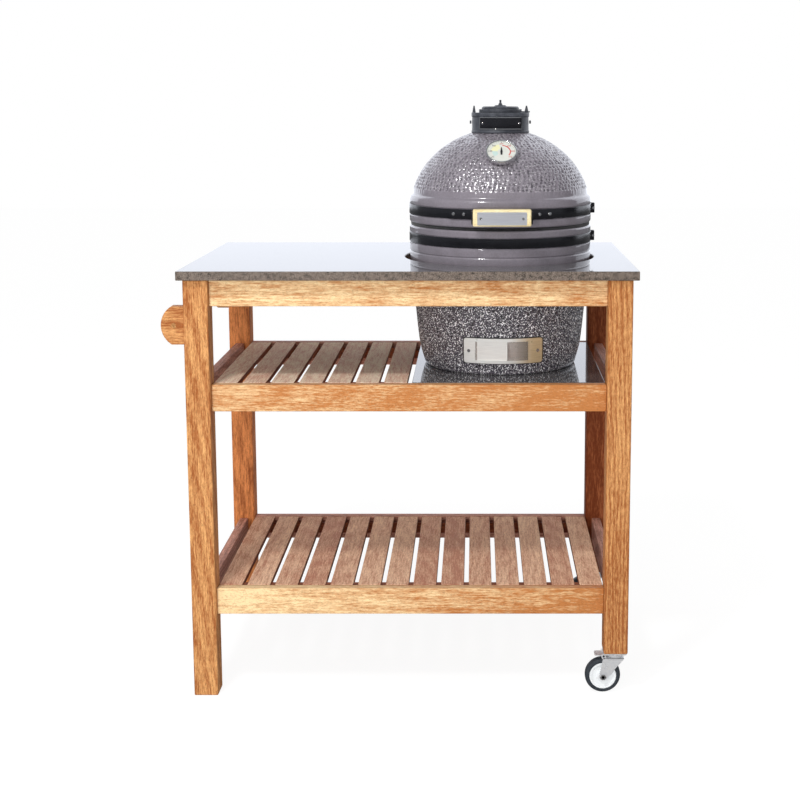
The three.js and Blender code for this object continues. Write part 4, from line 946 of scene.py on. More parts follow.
# Presses rows of round hollows into the outer skin between two heights
def dimple(shape, skin, lowest, highest, depth):
    hollow = shape.verts.layers.float.new("hollow")
    heights = [z for r, z in skin]
    lengths = [0]
    for (r0, z0), (r1, z1) in zip(skin, skin[1:]):
        lengths.append(lengths[-1] + math.hypot(r1 - r0, z1 - z0))

    def radiusAt(i, share):
        return skin[i - 1][0] + (skin[i][0] - skin[i - 1][0]) * share

    def along(height):
        i, share = locate(heights, height)
        tangent = Vector((skin[i][0] - skin[i - 1][0], heights[i] - heights[i - 1])).normalized()
        return radiusAt(i, share), lengths[i - 1] + (lengths[i] - lengths[i - 1]) * share, tangent

    jitter = shell["jitter"]
    start = along(lowest)[1]
    end = along(highest)[1]
    rows = int((end - start) / shell["pitch"])
    centres = [start + (j + 0.5) * shell["pitch"] for j in range(rows)]
    rings = []
    for centre in centres:
        radius = radiusAt(*locate(lengths, centre))
        count = max(8, round(fullTurn * radius / shell["cell"]))
        spots = [(random.uniform(-1, 1) * jitter, random.uniform(-1, 1) * jitter,
            1 - random.random() * shell["unevenness"]) for k in range(count)]
        rings.append((count, random.random(), spots))
    for vert in shape.verts:
        height = vert.co.z
        if not lowest <= height <= highest:
            continue
        radius, length, tangent = along(height)
        if abs(math.hypot(vert.co.x, vert.co.y) - radius) > 0.3:
            continue
        turn = math.atan2(vert.co.y, vert.co.x)
        row = int((length - start) / shell["pitch"])
        push = 0
        for j in range(max(0, row - 1), min(rows, row + 2)):
            count, phase, spots = rings[j]
            place = turn / fullTurn * count - phase
            shiftAcross, shiftUp, share = spots[round(place) % count]
            across = (place - round(place)) / count * 2 * math.pi * radius - shiftAcross
            away = math.hypot(across, length - centres[j] - shiftUp)
            if away < shell["reach"]:
                push = max(push, share * (1 - (away / shell["reach"]) ** 2) ** 2)
        vert[hollow] = push
        outward = Vector((tangent.y * math.cos(turn), tangent.y * math.sin(turn), -tangent.x))
        vert.co -= outward * push * depth


# A shallow step into the skin where a band lies
def recessed(low, high):
    low -= shell["recessBelow"]
    high += shell["recessBelow"]
    inner = grillRadius - shell["recess"]
    corners = [(grillRadius, low, 0.8), (inner, low + 1.2, 0.5), (inner, high - 1.2, 0.5)]
    return corners + [(grillRadius, high, 0.8)]


def smoothAbove(shape, height, above=True):
    for face in shape.faces:
        if (face.calc_center_median().z > height) == above:
            face.material_index = 1


def heightsBetween(low, high, step):
    count = max(1, round((high - low) / step))
    return [low + (high - low) * k / count for k in range(count + 1)]


def makeBase():
    wall = shell["wall"]
    ease = shell["rimEase"]
    lowest, highest = shell["baseTexture"]
    heights = heightsBetween(lowest, highest, shell["skinStep"])
    heights += heightsBetween(highest, shell["collar"], 10)[1:]
    skin = [(baseRadius(z), z) for z in heights]
    bead = shell["baseBead"]
    half = shell["beadHalf"]
    inner = grillRadius - shell["recess"]
    bandLow = bandBottom("lower_band") - grillFoot
    collar = [(grillRadius, bead - half, 1), (inner, bead, 0.8), (inner, bead + 1, 0.5)]
    collar += [(grillRadius, bead + half, 1)] + recessed(bandLow, bandLow + band["height"])
    skin += eased([(*skin[-1], 0)] + collar + [(grillRadius, baseTop - ease, 0)], 4)[1:]
    foot = eased([(0, 0, 0), (baseRadius(0) - 4, 0, 2.5), (baseRadius(5), 5, 1.5), (baseRadius(8), 8, 0)], 3)
    rim = eased([(grillRadius, baseTop - ease, 0), (grillRadius, baseTop, ease - 0.1),
        (grillRadius - wall, baseTop, ease), (grillRadius - wall, baseTop - ease * 2, 0)], 5)
    floor = shell["floor"]
    blend = floor + shell["floorBlend"]
    heights = heightsBetween(blend, baseTop - ease * 2, shell["innerStep"])
    inner = [(baseRadius(z) - wall, z) for z in heights]
    bottom = eased([(baseRadius(blend) - wall, blend, 0), (baseRadius(floor) - 2 * wall, floor, 6),
        (0, floor, 0)], 3)
    outline = foot[:-1] + skin[:-1] + rim + inner[::-1][1:] + bottom[1:]
    body = spun(outline, shell["steps"])
    dimple(body, skin, lowest, highest, shell["baseDepth"])
    smoothAbove(body, highest)
    half = shell["draftWidth"] / 2
    low = (vent["middleX"] - half, -grillRadius - wall, vent["middleZ"] - shell["draftHeight"] / 2)
    high = (vent["middleX"] + half, -grillRadius / 2, vent["middleZ"] + shell["draftHeight"] / 2)
    body = cutAway(body, roundBox(low, high, 4))
    placed(body, grillAt)
    makePiece("baseCeramic", [body], ["glazeBase", "glazeSmooth"], "root", ["base_shell"])


def makeDome():
    wall = shell["wall"]
    ease = shell["rimEase"]
    lowest, highest = shell["domeTexture"]
    bandLow = bandBottom("upper_band") - grillFoot
    onset = (grillRadius * math.sqrt(1 - ((lowest - domeMiddle) / shell["rise"]) ** 2), lowest)
    low = eased([(grillRadius, domeBottom + ease, 0)] + recessed(bandLow, bandLow + band["height"]) +
        [(grillRadius, shell["shoulder"][1] - 6, 6), (*shell["shoulder"], 2.5), (*onset, 0)], 5)
    rim = eased([(grillRadius - wall, domeMiddle, 0), (grillRadius - wall, domeBottom, ease),
        (grillRadius, domeBottom, ease - 0.1), (grillRadius, domeMiddle, 0)], 5)
    last = math.acos(shell["neck"] / grillRadius)
    steps = shell["skinSteps"]
    turns = domeArc(grillRadius, shell["rise"], [last * k / steps for k in range(steps + 1)])
    skin = low + [point for point in turns if point[1] > lowest + 0.5]
    neckTop = turns[-1][1] + shell["neckHeight"]
    neckInner = shell["neck"] - shell["neckWall"]
    neck = eased([(shell["neck"], turns[-1][1], 0), (shell["neck"], neckTop, 2), (neckInner, neckTop, 2),
        (neckInner, neckTop - shell["neckHeight"], 0)], 3)
    innerLast = math.acos(neckInner / (grillRadius - wall))
    steps = shell["innerSteps"]
    arc = [innerLast * (1 - k / steps) for k in range(steps + 1)]
    inner = domeArc(grillRadius - wall, shell["rise"] - wall, arc)
    outline = rim[:-1] + skin[1:] + neck[1:] + inner[:-1]
    body = spun(outline, shell["steps"], closed=True)
    dimple(body, skin, lowest, highest, shell["domeDepth"])
    smoothAbove(body, lowest, False)
    placed(body, grillAt)
    makePiece("domeCeramic", [body], ["glaze", "glazeSmooth"], "lid", ["dome_shell"])


makeBase()
makeDome()
print("ceramic shells made")


# Felt rings on both rims, and steel bands with clamp ears on the right
felt = {"ease": 0.8, "width": 16}


def makeGasket(level, body):
    node = f"{level}_gasket"
    low, high = boxOf(node)
    outer = (high[0] - low[0]) / 2
    ring = ringOf((outer - felt["width"], outer), (low[2], high[2]), (felt["ease"], felt["ease"]), 3, 128)
    makePiece(f"{level}Felt", [placed(ring, onAxis)], ["feltRing"], body, [node])


def makeBand(level, body):
    node = f"{level}_band"
    bottom = bandBottom(node)
    top = bottom + band["height"]
    half = band["earGap"] / 2
    opening = math.asin(half / bandInner)
    ring = ringOf((bandInner, bandOuter), (bottom, top), (0.4, band["ease"]), 4, 200, fullTurn - 2 * opening)
    shapes = [placed(ring, onAxis, aboutZ(opening))]
    over = band["earOverhang"] - band["earTrim"]
    for sign in (-1, 1):
        near, far = sorted((sign * half, sign * (half + band["earThickness"])))
        low = (grillX + bandOuter - 1, near, bottom - over)
        high = (grillX + bandOuter + band["earReach"], far, top + over)
        shapes.append(roundBox(low, high, band["earEase"]))
    makePiece(f"{level}Band", shapes, ["blackGloss"], body, [node])
    paintNode(f"{node}_bolt", "polishedSteel")


for make in (makeGasket, makeBand):
    make("lower", "root")
    make("upper", "lid")
print("bands and felt made")


# Lid handle: a bamboo block with a bare brushed plate, on two black arms
handle = {"ease": 3.2, "plateThickness": 1.2, "plateSunk": 0.8, "plateSide": 9.5, "plateTop": 5.5,
    "plateBottom": 3, "plateCorner": 2, "screw": 3, "screwHeight": 1.2, "screwInset": 8, "boltRadius": 4.2,
    "boltHeight": 2.6, "boltNear": 84, "boltFar": 107, "padGap": 0.3, "padThickness": 3, "padEnd": 118,
    "armThickness": 3, "armHeight": 28, "armSunk": 3}


def roundedRectangle(left, right, bottom, top, corner, steps=5):
    corners = [(left, bottom, corner), (right, bottom, corner), (right, top, corner), (left, top, corner)]
    return eased(corners, steps)


def makeHandle():
    low, high = boxOf("lid_handle")
    block = board(low, high, handle["ease"], 0)
    makePiece("handleBamboo", [block], ["bambooWood"], "lid", ["lid_handle"])
    side = handle["plateSide"]
    bounds = (low[0] + side, high[0] - side, low[2] + handle["plateBottom"], high[2] - handle["plateTop"])
    outline = roundedRectangle(*bounds, handle["plateCorner"])
    back = low[1] + handle["plateSunk"]
    face = placed(plate(outline, handle["plateThickness"], 0.3), (0, back, 0), toFront)
    makePiece("handlePlate", [face], ["brushedPlate"], "lid")
    screws = []
    for x in (bounds[0] + handle["screwInset"], bounds[1] - handle["screwInset"]):
        place = (x, back - handle["plateThickness"] + 0.2, (bounds[2] + bounds[3]) / 2)
        screws.append(placed(screwHead(handle["screw"], handle["screwHeight"]), place, toFront))
    makePiece("handleScrews", screws, ["polishedSteel"], "lid")


def makeArms():
    low, high = boxOf("lid_handle")
    bottom = bandBottom("upper_band")
    top = bottom + band["height"]
    inner = bandOuter + handle["padGap"]
    outer = inner + handle["padThickness"]
    start = (high[0] - low[0]) / 2 + seatGap
    first = math.asin(start / inner)
    last = math.asin(handle["padEnd"] / outer)
    bolts = []
    for side, sign in (("left", -1), ("right", 1)):
        pad = ringOf((inner, outer), (bottom, top), (0.3, 0.9), 3, 16, last - first)
        placed(pad, onAxis, aboutZ(-math.pi / 2 + (first if sign > 0 else -last)))
        near, far = sorted((sign * start, sign * (start + handle["armThickness"])))
        middle = (low[2] + high[2]) / 2
        back = -math.sqrt(inner ** 2 - start ** 2) - handle["padThickness"] / 2
        armLow = (grillX + near, low[1] + handle["armSunk"], middle - handle["armHeight"] / 2)
        armHigh = (grillX + far, back, middle + handle["armHeight"] / 2)
        arm = roundBox(armLow, armHigh, 1.2)
        stands = [f"handle_arm_{side}"]
        makePiece(f"handleArm.{side}", [pad, arm], ["blackGloss"], "lid", stands)
        for reach in (handle["boltNear"], handle["boltFar"]):
            turn = math.asin(sign * reach / outer)
            place = (grillX + outer * math.sin(turn), -outer * math.cos(turn), bottom + band["height"] / 2)
            head = screwHead(handle["boltRadius"], handle["boltHeight"])
            bolts.append(placed(head, place, aboutZ(turn) @ toFront))
    makePiece("handleBolts", bolts, ["polishedSteel"], "lid")


makeHandle()
makeArms()
print("lid handle made")


# Thermometer: case, dial with plain numbers, and its pointer. A zone is (inner, outer, start, end, material)
dial = {"riseShare": 0.708, "face": 11.5, "rimInner": 32.2, "print": 0.12, "tickOuter": 31, "tickInner": 28,
    "tickShort": 1.5, "tickWide": 0.5, "tickThin": 0.3, "numberRadius": 25, "numberSize": 6, "firstTurn": 220,
    "lastTurn": -40, "numbers": 7, "redFrom": 3, "pointerThickness": 0.8, "hub": 2.6,
    "case": [(0, -60, 0), (3.5, -60, 1.5), (3.5, 0.3, 0), (20, 0.3, 0), (35.2, 5, 1.5), (35.2, 14, 1.2),
        (32.2, 14, 0.8), (32.2, 11.5, 0), (0, 11.5, 0)],
    "pointer": [(-2.5, 0), (-1.75, -10), (1.75, -10), (2.5, 0), (0.5, 14), (-0.5, 14)],
    "zones": [(9, 20.5, 176, 226, 3), (9, 23.5, 104, 172, 2), (18.7, 21.1, -34, 84, 4)]}
dialHeight = domeMiddle + dial["riseShare"] * shell["rise"]
dialSeat = grillRadius * math.sqrt(1 - dial["riseShare"] ** 2)
dialSlope = math.atan2((dialHeight - domeMiddle) / shell["rise"] ** 2, dialSeat / grillRadius ** 2)
dialPlace = Vector((grillX, -dialSeat, grillFoot + dialHeight))
dialTurn = Matrix.Rotation(math.pi / 2 - dialSlope, 4, "X")
dialFace = dial["face"]


def numberShape(text, size):
    curve = bpy.data.curves.new("number", "FONT")
    curve.body = text
    curve.size = size
    curve.align_x = "CENTER"
    curve.align_y = "CENTER"
    curve.extrude = dial["print"] / 2
    carrier = bpy.data.objects.new("number", curve)
    bpy.context.scene.collection.objects.link(carrier)
    mesh = bpy.data.meshes.new_from_object(carrier.evaluated_get(bpy.context.evaluated_depsgraph_get()))
    shape = bmesh.new()
    shape.from_mesh(mesh)
    bpy.data.objects.remove(carrier)
    bpy.data.meshes.remove(mesh)
    bpy.data.curves.remove(curve)
    bmesh.ops.remove_doubles(shape, verts=shape.verts, dist=weldDistance)
    return shape


# A flat sector of a ring, printed on the dial
def zone(inner, outer, start, end, index):
    heights = (dialFace, dialFace + dial["print"])
    shape = ringOf((inner, outer), heights, (0, 0), 3, 24, math.radians(end - start))
    return painted(placed(shape, (0, 0, 0), aboutZ(math.radians(start))), index)


def turnOf(k, count):
    return math.radians(dial["firstTurn"] + (dial["lastTurn"] - dial["firstTurn"]) * k / count)


def makeDial():
    case = lathe(dial["case"], 4, 80)
    for face in case.faces:
        middle = face.calc_center_median()
        flat = abs(middle.z - dialFace) < 0.05 and math.hypot(middle.x, middle.y) < dial["rimInner"]
        face.material_index = 1 if flat else 0
    shapes = [case] + [zone(*values) for values in dial["zones"]]
    ticks = 4 * (dial["numbers"] - 1)
    for k in range(ticks + 1):
        wide, inner = dial["tickThin"], dial["tickInner"] + dial["tickShort"]
        if k % 4 == 0:
            wide, inner = dial["tickWide"], dial["tickInner"]
        tick = roundBox((inner, -wide, dialFace), (dial["tickOuter"], wide, dialFace + dial["print"]), 0)
        shapes.append(painted(placed(tick, (0, 0, 0), aboutZ(turnOf(k, ticks))), 5))
    for k in range(dial["numbers"]):
        turn = turnOf(k, dial["numbers"] - 1)
        number = numberShape(str((k + 1) * 50), dial["numberSize"])
        place = (dial["numberRadius"] * math.cos(turn), dial["numberRadius"] * math.sin(turn), dialFace + 0.1)
        shapes.append(painted(placed(number, place), 4 if k >= dial["redFrom"] else 5))
    for shape in shapes:
        placed(shape, dialPlace, dialTurn)
    looks = ["polishedSteel", "dialEnamel", "zoneYellow", "zoneGreen", "zoneRed", "inkBlack"]
    makePiece("thermometerCase", shapes, looks, "lid", ["thermometer"])
    pointer = placed(plate(dial["pointer"], dial["pointerThickness"], 0.2), (0, 0, dialFace + 0.3))
    hub = placed(rod(dial["hub"], dial["pointerThickness"] + 0.5, 0.5, 24), (0, 0, dialFace + 0.3))
    for shape in (pointer, hub):
        placed(shape, dialPlace, dialTurn)
    makePiece("thermometerPointer", [pointer, hub], ["inkBlack"], "needle", ["thermometer_needle"])


makeDial()
print("thermometer made")


# Chimney cap, damper plate and daisy wheel
cap = {"radius": 67.5, "roof": 5, "throat": 42, "flange": 1.6, "flangeHeight": 9, "studX": 61, "stud": 3.5,
    "studHeight": 16, "lug": 6, "plateThickness": 7.7, "plateRadius": 50, "ear": 8, "earThickness": 3,
    "petals": 5, "petal": 8, "petalCircle": 27, "daisyThickness": 6, "boltRadius": 3.7, "boltReach": 4,
    "boltDrop": 22, "postFoot": 4.4, "postTip": 1.5, "labelHalf": 45, "labelLow": 38, "labelHigh": 10,
    "labelThickness": 1, "labelSunk": 2.2, "labelEdge": 1.8, "lip": 0.5, "lipSunk": 0.4, "lipHalf": 0.5,
    "screw": 2.6, "screwHeight": 1.6, "screwTurn": 7,
    "daisy": [(0, 0, 0), (43.5, 0, 0.5), (43.5, 3, 0.8), (40, 6, 0.8), (15, 6, 0.8), (11.5, 9, 1),
        (5.5, 9, 0.8), (1.7, 16.4, 0.8), (2.6, 17.4, 0.6), (2.6, 21, 1.5), (0, 21, 0)]}
capTop = boxOf("damper_plate")[0][2] - seatGap
plateTop = capTop + seatGap + cap["plateThickness"]


# A strip bent round the cap's wall between two turns
def capStrip(inner, outer, bottom, top, half, ease=0.2):
    shape = ringOf((inner, outer), (bottom, top), (ease / 2, ease), 3, 28, math.radians(2 * half))
    return placed(shape, onAxis, aboutZ(math.radians(-90 - half)))


def makeCap():
    radius = cap["radius"]
    bore = shell["neck"] + seatGap
    boreFoot = grillFoot + domeHeight(bore) + seatGap
    wallFoot = grillFoot + domeHeight(radius) + seatGap
    roof = capTop - cap["roof"]
    shoulder = capTop - cap["flangeHeight"]
    corners = [(bore, boreFoot, 0), (radius, wallFoot, 1), (radius, wallFoot + 4, 0.5)]
    corners += [(radius - 1.2, wallFoot + 6, 0.8), (radius - cap["flange"], shoulder - 1, 0.5)]
    corners += [(radius, shoulder + 0.5, 0.8), (radius, capTop, 1.2)]
    corners += [(cap["throat"], capTop, 0.8), (cap["throat"], roof, 0.8), (bore, roof, 2)]
    shapes = [placed(lathe(corners, 4, 128, True), onAxis)]
    tip = capTop + cap["studHeight"]
    foot, step = capTop - 2, capTop + seatGap * 2 + cap["earThickness"]
    point = [(cap["postTip"], tip, 0.6), (0, tip, 0)]
    stud = [(0, foot, 0), (cap["stud"], foot, 0), (cap["stud"], step, 0), (cap["postFoot"], step, 0.5)]
    shapes.append(placed(lathe(stud + point, 3, 24), (grillX + cap["studX"], 0, 0)))
    lug = [(0, foot, 0), (cap["postFoot"], foot, 0)] + point
    shapes.append(placed(lathe(lug, 3, 24), (grillX - radius + cap["lug"], 0, 0)))
    for sign in (-1, 1):
        head = hexHead(cap["boltRadius"], cap["boltReach"])
        turn = Matrix.Rotation(sign * math.pi / 2, 4, "Y")
        shapes.append(placed(head, (grillX + sign * radius, 0, capTop - cap["boltDrop"]), turn))
    makePiece("capHousing", shapes, ["castIron"], "lid", ["chimney_cap"])


def makeCapPlate():
    half = cap["labelHalf"]
    edge = cap["labelEdge"]
    low, high = capTop - cap["labelLow"], capTop - cap["labelHigh"]
    outer = cap["radius"] + cap["labelThickness"]
    label = capStrip(cap["radius"] - cap["labelSunk"], outer, low, high, half)
    makePiece("capPlate", [label], ["blackGloss"], "lid")
    walls = (outer - cap["lipSunk"], outer + cap["lip"])
    rims = [capStrip(*walls, low, low + edge, half), capStrip(*walls, high - edge, high, half)]
    for sign in (-1, 1):
        side = capStrip(*walls, low + edge / 2, high - edge / 2, cap["lipHalf"])
        turn = Matrix.Translation(onAxis) @ aboutZ(math.radians(sign * (half - cap["lipHalf"])))
        side.transform(turn @ Matrix.Translation((-grillX, 0, 0)))
        rims.append(side)
        angle = math.radians(sign * (half - cap["screwTurn"]))
        place = (grillX + outer * math.sin(angle), -outer * math.cos(angle), (low + high) / 2)
        rims.append(placed(screwHead(cap["screw"], cap["screwHeight"]), place, aboutZ(angle) @ toFront))
    makePiece("capPlateTrim", rims, ["polishedSteel"], "lid")


def petalCutter(bottom, top, phase):
    shapes = []
    for k in range(cap["petals"]):
        turn = (k + phase) / cap["petals"] * 2 * math.pi
        place = (grillX + cap["petalCircle"] * math.cos(turn), cap["petalCircle"] * math.sin(turn), bottom)
        shapes.append(placed(rod(cap["petal"], top - bottom, 0, 32), place))
    return joined(shapes)


def makeDamper():
    bottom = capTop + seatGap
    disc = placed(rod(cap["plateRadius"], cap["plateThickness"], 1, 96), (grillX, 0, bottom))
    disc = cutAway(disc, petalCutter(bottom - 5, plateTop + 5, 0))
    outline = arcPoints(cap["plateRadius"] - 1.5, (0, 0), math.radians(11), math.radians(-11), 12)
    outline += arcPoints(cap["ear"], (cap["studX"], 0), math.radians(-80), math.radians(80), 16)
    ear = placed(plate(outline, cap["earThickness"], 0.4), (grillX, 0, bottom))
    ear = cutAway(ear, placed(rod(cap["stud"] + seatGap, 20, 0, 32), (grillX + cap["studX"], 0, bottom - 5)))
    makePiece("damperPlate", [disc, ear], ["castIron"], "damper", ["damper_plate"])
    bottom = plateTop + seatGap
    top = bottom + cap["daisyThickness"]
    wheel = placed(lathe(lifted(cap["daisy"], bottom), 4, 80), onAxis)
    wheel = cutAway(wheel, petalCutter(bottom - 5, top + 5, 0.5))
    makePiece("daisyWheel", [wheel], ["castIron"], "daisy", ["daisy_wheel"])


makeCap()
makeCapPlate()
makeDamper()
print("chimney cap made")


# Draft vent: frame, sliding door and perforated screen, bent round the base. Cutters go from under to over
vent.update({"width": 178, "height": 59, "corner": 7, "frameInner": 0.3, "frameOuter": 6, "windowHeight": 44,
    "windowLeft": -63, "windowRight": 56, "channelHeight": 50, "channelWidth": 154, "channelDepth": 3.8,
    "doorInner": 1.8, "doorOuter": 3.2, "doorHeight": 48, "doorLeft": -59, "doorRight": 9, "tab": 1.6,
    "tabReach": 12, "tabHeight": 32, "screenInner": 0.4, "screenOuter": 1.2, "screenLap": 4, "pitch": 2.7,
    "hole": 0.65, "slice": 5, "screw": 4, "screwHeight": 2.2, "screwX": 78, "darkRimEdge": 1.8,
    "darkRimInner": -1.5, "darkRimOuter": 1.4, "darkRimLap": (6, 4), "under": -5, "over": 12})


# Bends a flat shape of (x, z, depth) round the base's wall
def wrap(shape):
    for vert in shape.verts:
        x, z, depth = vert.co
        reach = baseRadius(z) + depth
        vert.co = (x, -math.sqrt(reach ** 2 - x ** 2), z)
    placed(shape, grillAt)
    return shape


def sliced(shape, left, right):
    count = round((right - left) / vent["slice"])
    for k in range(1, count):
        x = left + (right - left) * k / count
        geometry = shape.verts[:] + shape.edges[:] + shape.faces[:]
        bmesh.ops.bisect_plane(shape, geom=geometry, plane_co=(x, 0, 0), plane_no=(1, 0, 0))
    return shape


def ventSpan(width):
    return vent["middleX"] - width / 2, vent["middleX"] + width / 2


def ventRise(height):
    return vent["middleZ"] - height / 2, vent["middleZ"] + height / 2


def ventHole(span, depth, grow=(0, 0)):
    left, right, bottom, top = span
    near = (left - grow[0], bottom - grow[1], vent["under"])
    return roundBox(near, (right + grow[0], top + grow[1], depth), 0)


def makeVent():
    left, right = ventSpan(vent["width"])
    bottom, top = ventRise(vent["height"])
    outline = roundedRectangle(left, right, bottom, top, vent["corner"])
    face = plate(outline, vent["frameOuter"] - vent["frameInner"], 0.8)
    placed(face, (0, 0, vent["frameInner"]))
    window = (vent["middleX"] + vent["windowLeft"], vent["middleX"] + vent["windowRight"])
    window += ventRise(vent["windowHeight"])
    face = cutAway(face, ventHole(window, vent["over"]))
    channel = ventSpan(vent["channelWidth"]) + ventRise(vent["channelHeight"])
    face = cutAway(face, ventHole(channel, vent["channelDepth"]))
    wrap(sliced(face, left, right))
    screws = []
    for x in (vent["middleX"] - vent["screwX"], vent["middleX"] + vent["screwX"]):
        reach = baseRadius(vent["middleZ"]) + vent["frameOuter"]
        place = (grillX + x, -math.sqrt(reach ** 2 - x ** 2), grillFoot + vent["middleZ"])
        head = screwHead(vent["screw"], vent["screwHeight"])
        screws.append(painted(placed(head, place, aboutZ(math.asin(x / reach)) @ toFront), 1))
    looks = ["ventPlate", "polishedSteel"]
    makePiece("ventFrame", [face] + screws, looks, "root", ["vent_frame"])
    # A black pad a little larger than the frame, which shows as a dark line round it
    edge = vent["darkRimEdge"]
    outline = roundedRectangle(left - edge, right + edge, bottom - edge, top + edge, vent["corner"] + edge)
    pad = placed(plate(outline, vent["darkRimOuter"] - vent["darkRimInner"], 0.3), (0, 0, vent["darkRimInner"]))
    pad = cutAway(pad, ventHole(window, vent["over"], vent["darkRimLap"]))
    pad = wrap(sliced(pad, left - edge, right + edge))
    makePiece("ventDarkRim", [pad], ["feltRing"], "root")


def makeDoor():
    left = vent["middleX"] + vent["doorLeft"]
    right = vent["middleX"] + vent["doorRight"]
    bottom, top = ventRise(vent["doorHeight"])
    door = roundBox((left, bottom, vent["doorInner"]), (right, top, vent["doorOuter"]), 0.3, 2)
    wrap(sliced(door, left, right))
    tabBottom, tabTop = ventRise(vent["tabHeight"])
    root = -baseRadius(tabTop) - vent["doorInner"] + 1
    low = (grillX + right - vent["tab"], root - vent["tabReach"] - 1, grillFoot + tabBottom)
    tab = roundBox(low, (grillX + right, root, grillFoot + tabTop), 0.6)
    makePiece("ventDoor", [door, tab], ["ventPlate"], "draft_door", ["vent_door"])


# The screen is one square tile with a round hole, repeated over the opening
def makeScreen():
    pitch = vent["pitch"]
    left = vent["middleX"] + vent["windowLeft"] - vent["screenLap"]
    right = vent["middleX"] + vent["windowRight"] + vent["screenLap"]
    bottom, top = ventRise(vent["doorHeight"])
    shape = bmesh.new()
    for vert in bmesh.ops.create_circle(shape, segments=8, radius=pitch / math.sqrt(2))["verts"]:
        turn = math.atan2(vert.co.y, vert.co.x)
        stretch = pitch / 2 / max(abs(math.cos(turn)), abs(math.sin(turn)))
        vert.co = Vector((math.cos(turn), math.sin(turn), 0)) * stretch
    bmesh.ops.create_circle(shape, segments=8, radius=vent["hole"])
    bmesh.ops.bridge_loops(shape, edges=shape.edges[:])
    bmesh.ops.translate(shape, vec=(left + pitch / 2, bottom + pitch / 2, 0), verts=shape.verts)
    for direction, length in ((Vector((1, 0, 0)), right - left), (Vector((0, 1, 0)), top - bottom)):
        items = allOf(shape)
        for k in range(1, int(length / pitch)):
            bmesh.ops.translate(shape, vec=direction * (k * pitch), verts=copyOf(shape, items))
    bmesh.ops.remove_doubles(shape, verts=shape.verts, dist=0.01)
    bmesh.ops.recalc_face_normals(shape, faces=shape.faces)
    bmesh.ops.translate(shape, vec=(0, 0, vent["screenInner"]), verts=shape.verts)
    thicken(shape, vent["screenOuter"] - vent["screenInner"])
    makePiece("ventScreen", [wrap(shape)], ["ventMesh"], "root", ["vent_screen"])


makeVent()
makeDoor()
makeScreen()
print("draft vent made")


# Rear hinge and its wound spring
hinge = {"y": 242, "z": 334.5, "pin": 4, "headRadius": 7, "head": 4, "reach": 46.3, "wire": 1.5, "coil": 6.4,
    "turns": 8, "start": -19.7, "end": 30.7, "stepsPerTurn": 28, "wireSides": 10}


def makeHinge():
    at = Vector((grillX, hinge["y"], grillFoot + hinge["z"]))
    reach = hinge["reach"]
    inner = reach - hinge["head"]
    corners = [(0, -reach, 0), (hinge["headRadius"], -reach, 1.2), (hinge["headRadius"], -inner, 0.3)]
    corners.append((hinge["pin"], -inner, 0))
    pin = placed(lathe(mirrored(corners), 4, 32), at, toX)
    makePiece("hingePin", [pin], ["zincPlate"], "root", ["hinge_pin"])
    for level in ("lower", "upper"):
        paintNode(f"hinge_{level}_bracket", "blackGloss")
    straight = 2 * hinge["wire"]
    length = hinge["end"] - hinge["start"] - 2 * straight
    steps = hinge["turns"] * hinge["stepsPerTurn"]
    coil = bmesh.new()
    ring = bmesh.ops.create_circle(coil, segments=hinge["wireSides"], radius=hinge["wire"])["verts"]
    bmesh.ops.translate(coil, vec=(hinge["coil"], 0, 0), verts=ring)
    upright = Matrix.Rotation(math.pi / 2, 3, "X")
    bmesh.ops.rotate(coil, verts=ring, cent=(hinge["coil"], 0, 0), matrix=upright)
    bmesh.ops.spin(coil, geom=coil.verts[:] + coil.edges[:], cent=(0, 0, 0), axis=(0, 0, 1),
        dvec=(0, 0, length / steps), angle=fullTurn * hinge["turns"], steps=steps)
    bmesh.ops.holes_fill(coil, edges=[edge for edge in coil.edges if edge.is_boundary], sides=20)
    for face in coil.faces:
        face.smooth = True
    placed(coil, (at.x + hinge["start"] + straight, at.y, at.z), toX)
    ends = []
    for x in (hinge["start"], hinge["end"] - straight):
        leg = rod(hinge["wire"], straight, 0.3, 12)
        ends.append(placed(leg, (at.x + x, at.y, at.z - hinge["coil"]), toX))
    makePiece("hingeSpring", [coil] + ends, ["zincPlate"], "root", ["hinge_spring"])


makeHinge()
print("hinge made")


# Fire box, fire ring, grate and cooking grid inside
fire = {"gap": 29, "shares": [(0.79, 0), (0.914, 0.286), (1, 1)], "height": 205, "floor": 25, "wall": 20,
    "ringHeight": 80, "ash": 45, "tunnelWidth": 60, "tunnelHeight": 14, "seat": 90, "ringFlare": 3.5,
    "grate": 80, "grateThickness": 6, "grateHole": 9, "grateCircle": 48, "grateHoles": 8, "gridInset": 2,
    "bar": 5, "barEase": 1.4, "gridHeight": 6, "bars": 9}
fireRadius = grillRadius - shell["wall"] - fire["gap"]


def makeFireBox():
    bottom = shell["floor"]
    foot, knee, lip = [(r * fireRadius, bottom + z * (fire["height"] - bottom)) for r, z in fire["shares"]]
    floor = bottom + fire["floor"]
    lipInner = lip[0] - fire["wall"]
    corners = [(fire["ash"], bottom, 2), (foot[0], foot[1], 4), (knee[0], knee[1], 12), (lip[0], lip[1], 3)]
    corners += [(lipInner, lip[1], 3), (knee[0] - fire["wall"], knee[1], 10), (fire["seat"], floor, 3)]
    corners += [(fire["ash"], floor, 2)]
    box = lathe(corners, 4, 96, True)
    half = fire["tunnelWidth"] / 2
    low = bottom + (fire["floor"] - fire["tunnelHeight"]) / 2
    box = cutAway(box, roundBox((-half, -knee[0] - 4, low), (half, 0, low + fire["tunnelHeight"]), 0))
    makePiece("fireBox", [placed(box, grillAt)], ["fireclay"], "root", ["fire_box"])
    bottom = fire["height"]
    top = bottom + fire["ringHeight"]
    corners = [(lipInner, bottom, 2), (lip[0], bottom, 2), (lip[0] + fire["ringFlare"], top, 3)]
    corners.append((lipInner, top, 3))
    ring = placed(lathe(corners, 4, 96, True), grillAt)
    makePiece("fireRing", [ring], ["fireclay"], "root", ["fire_ring"])


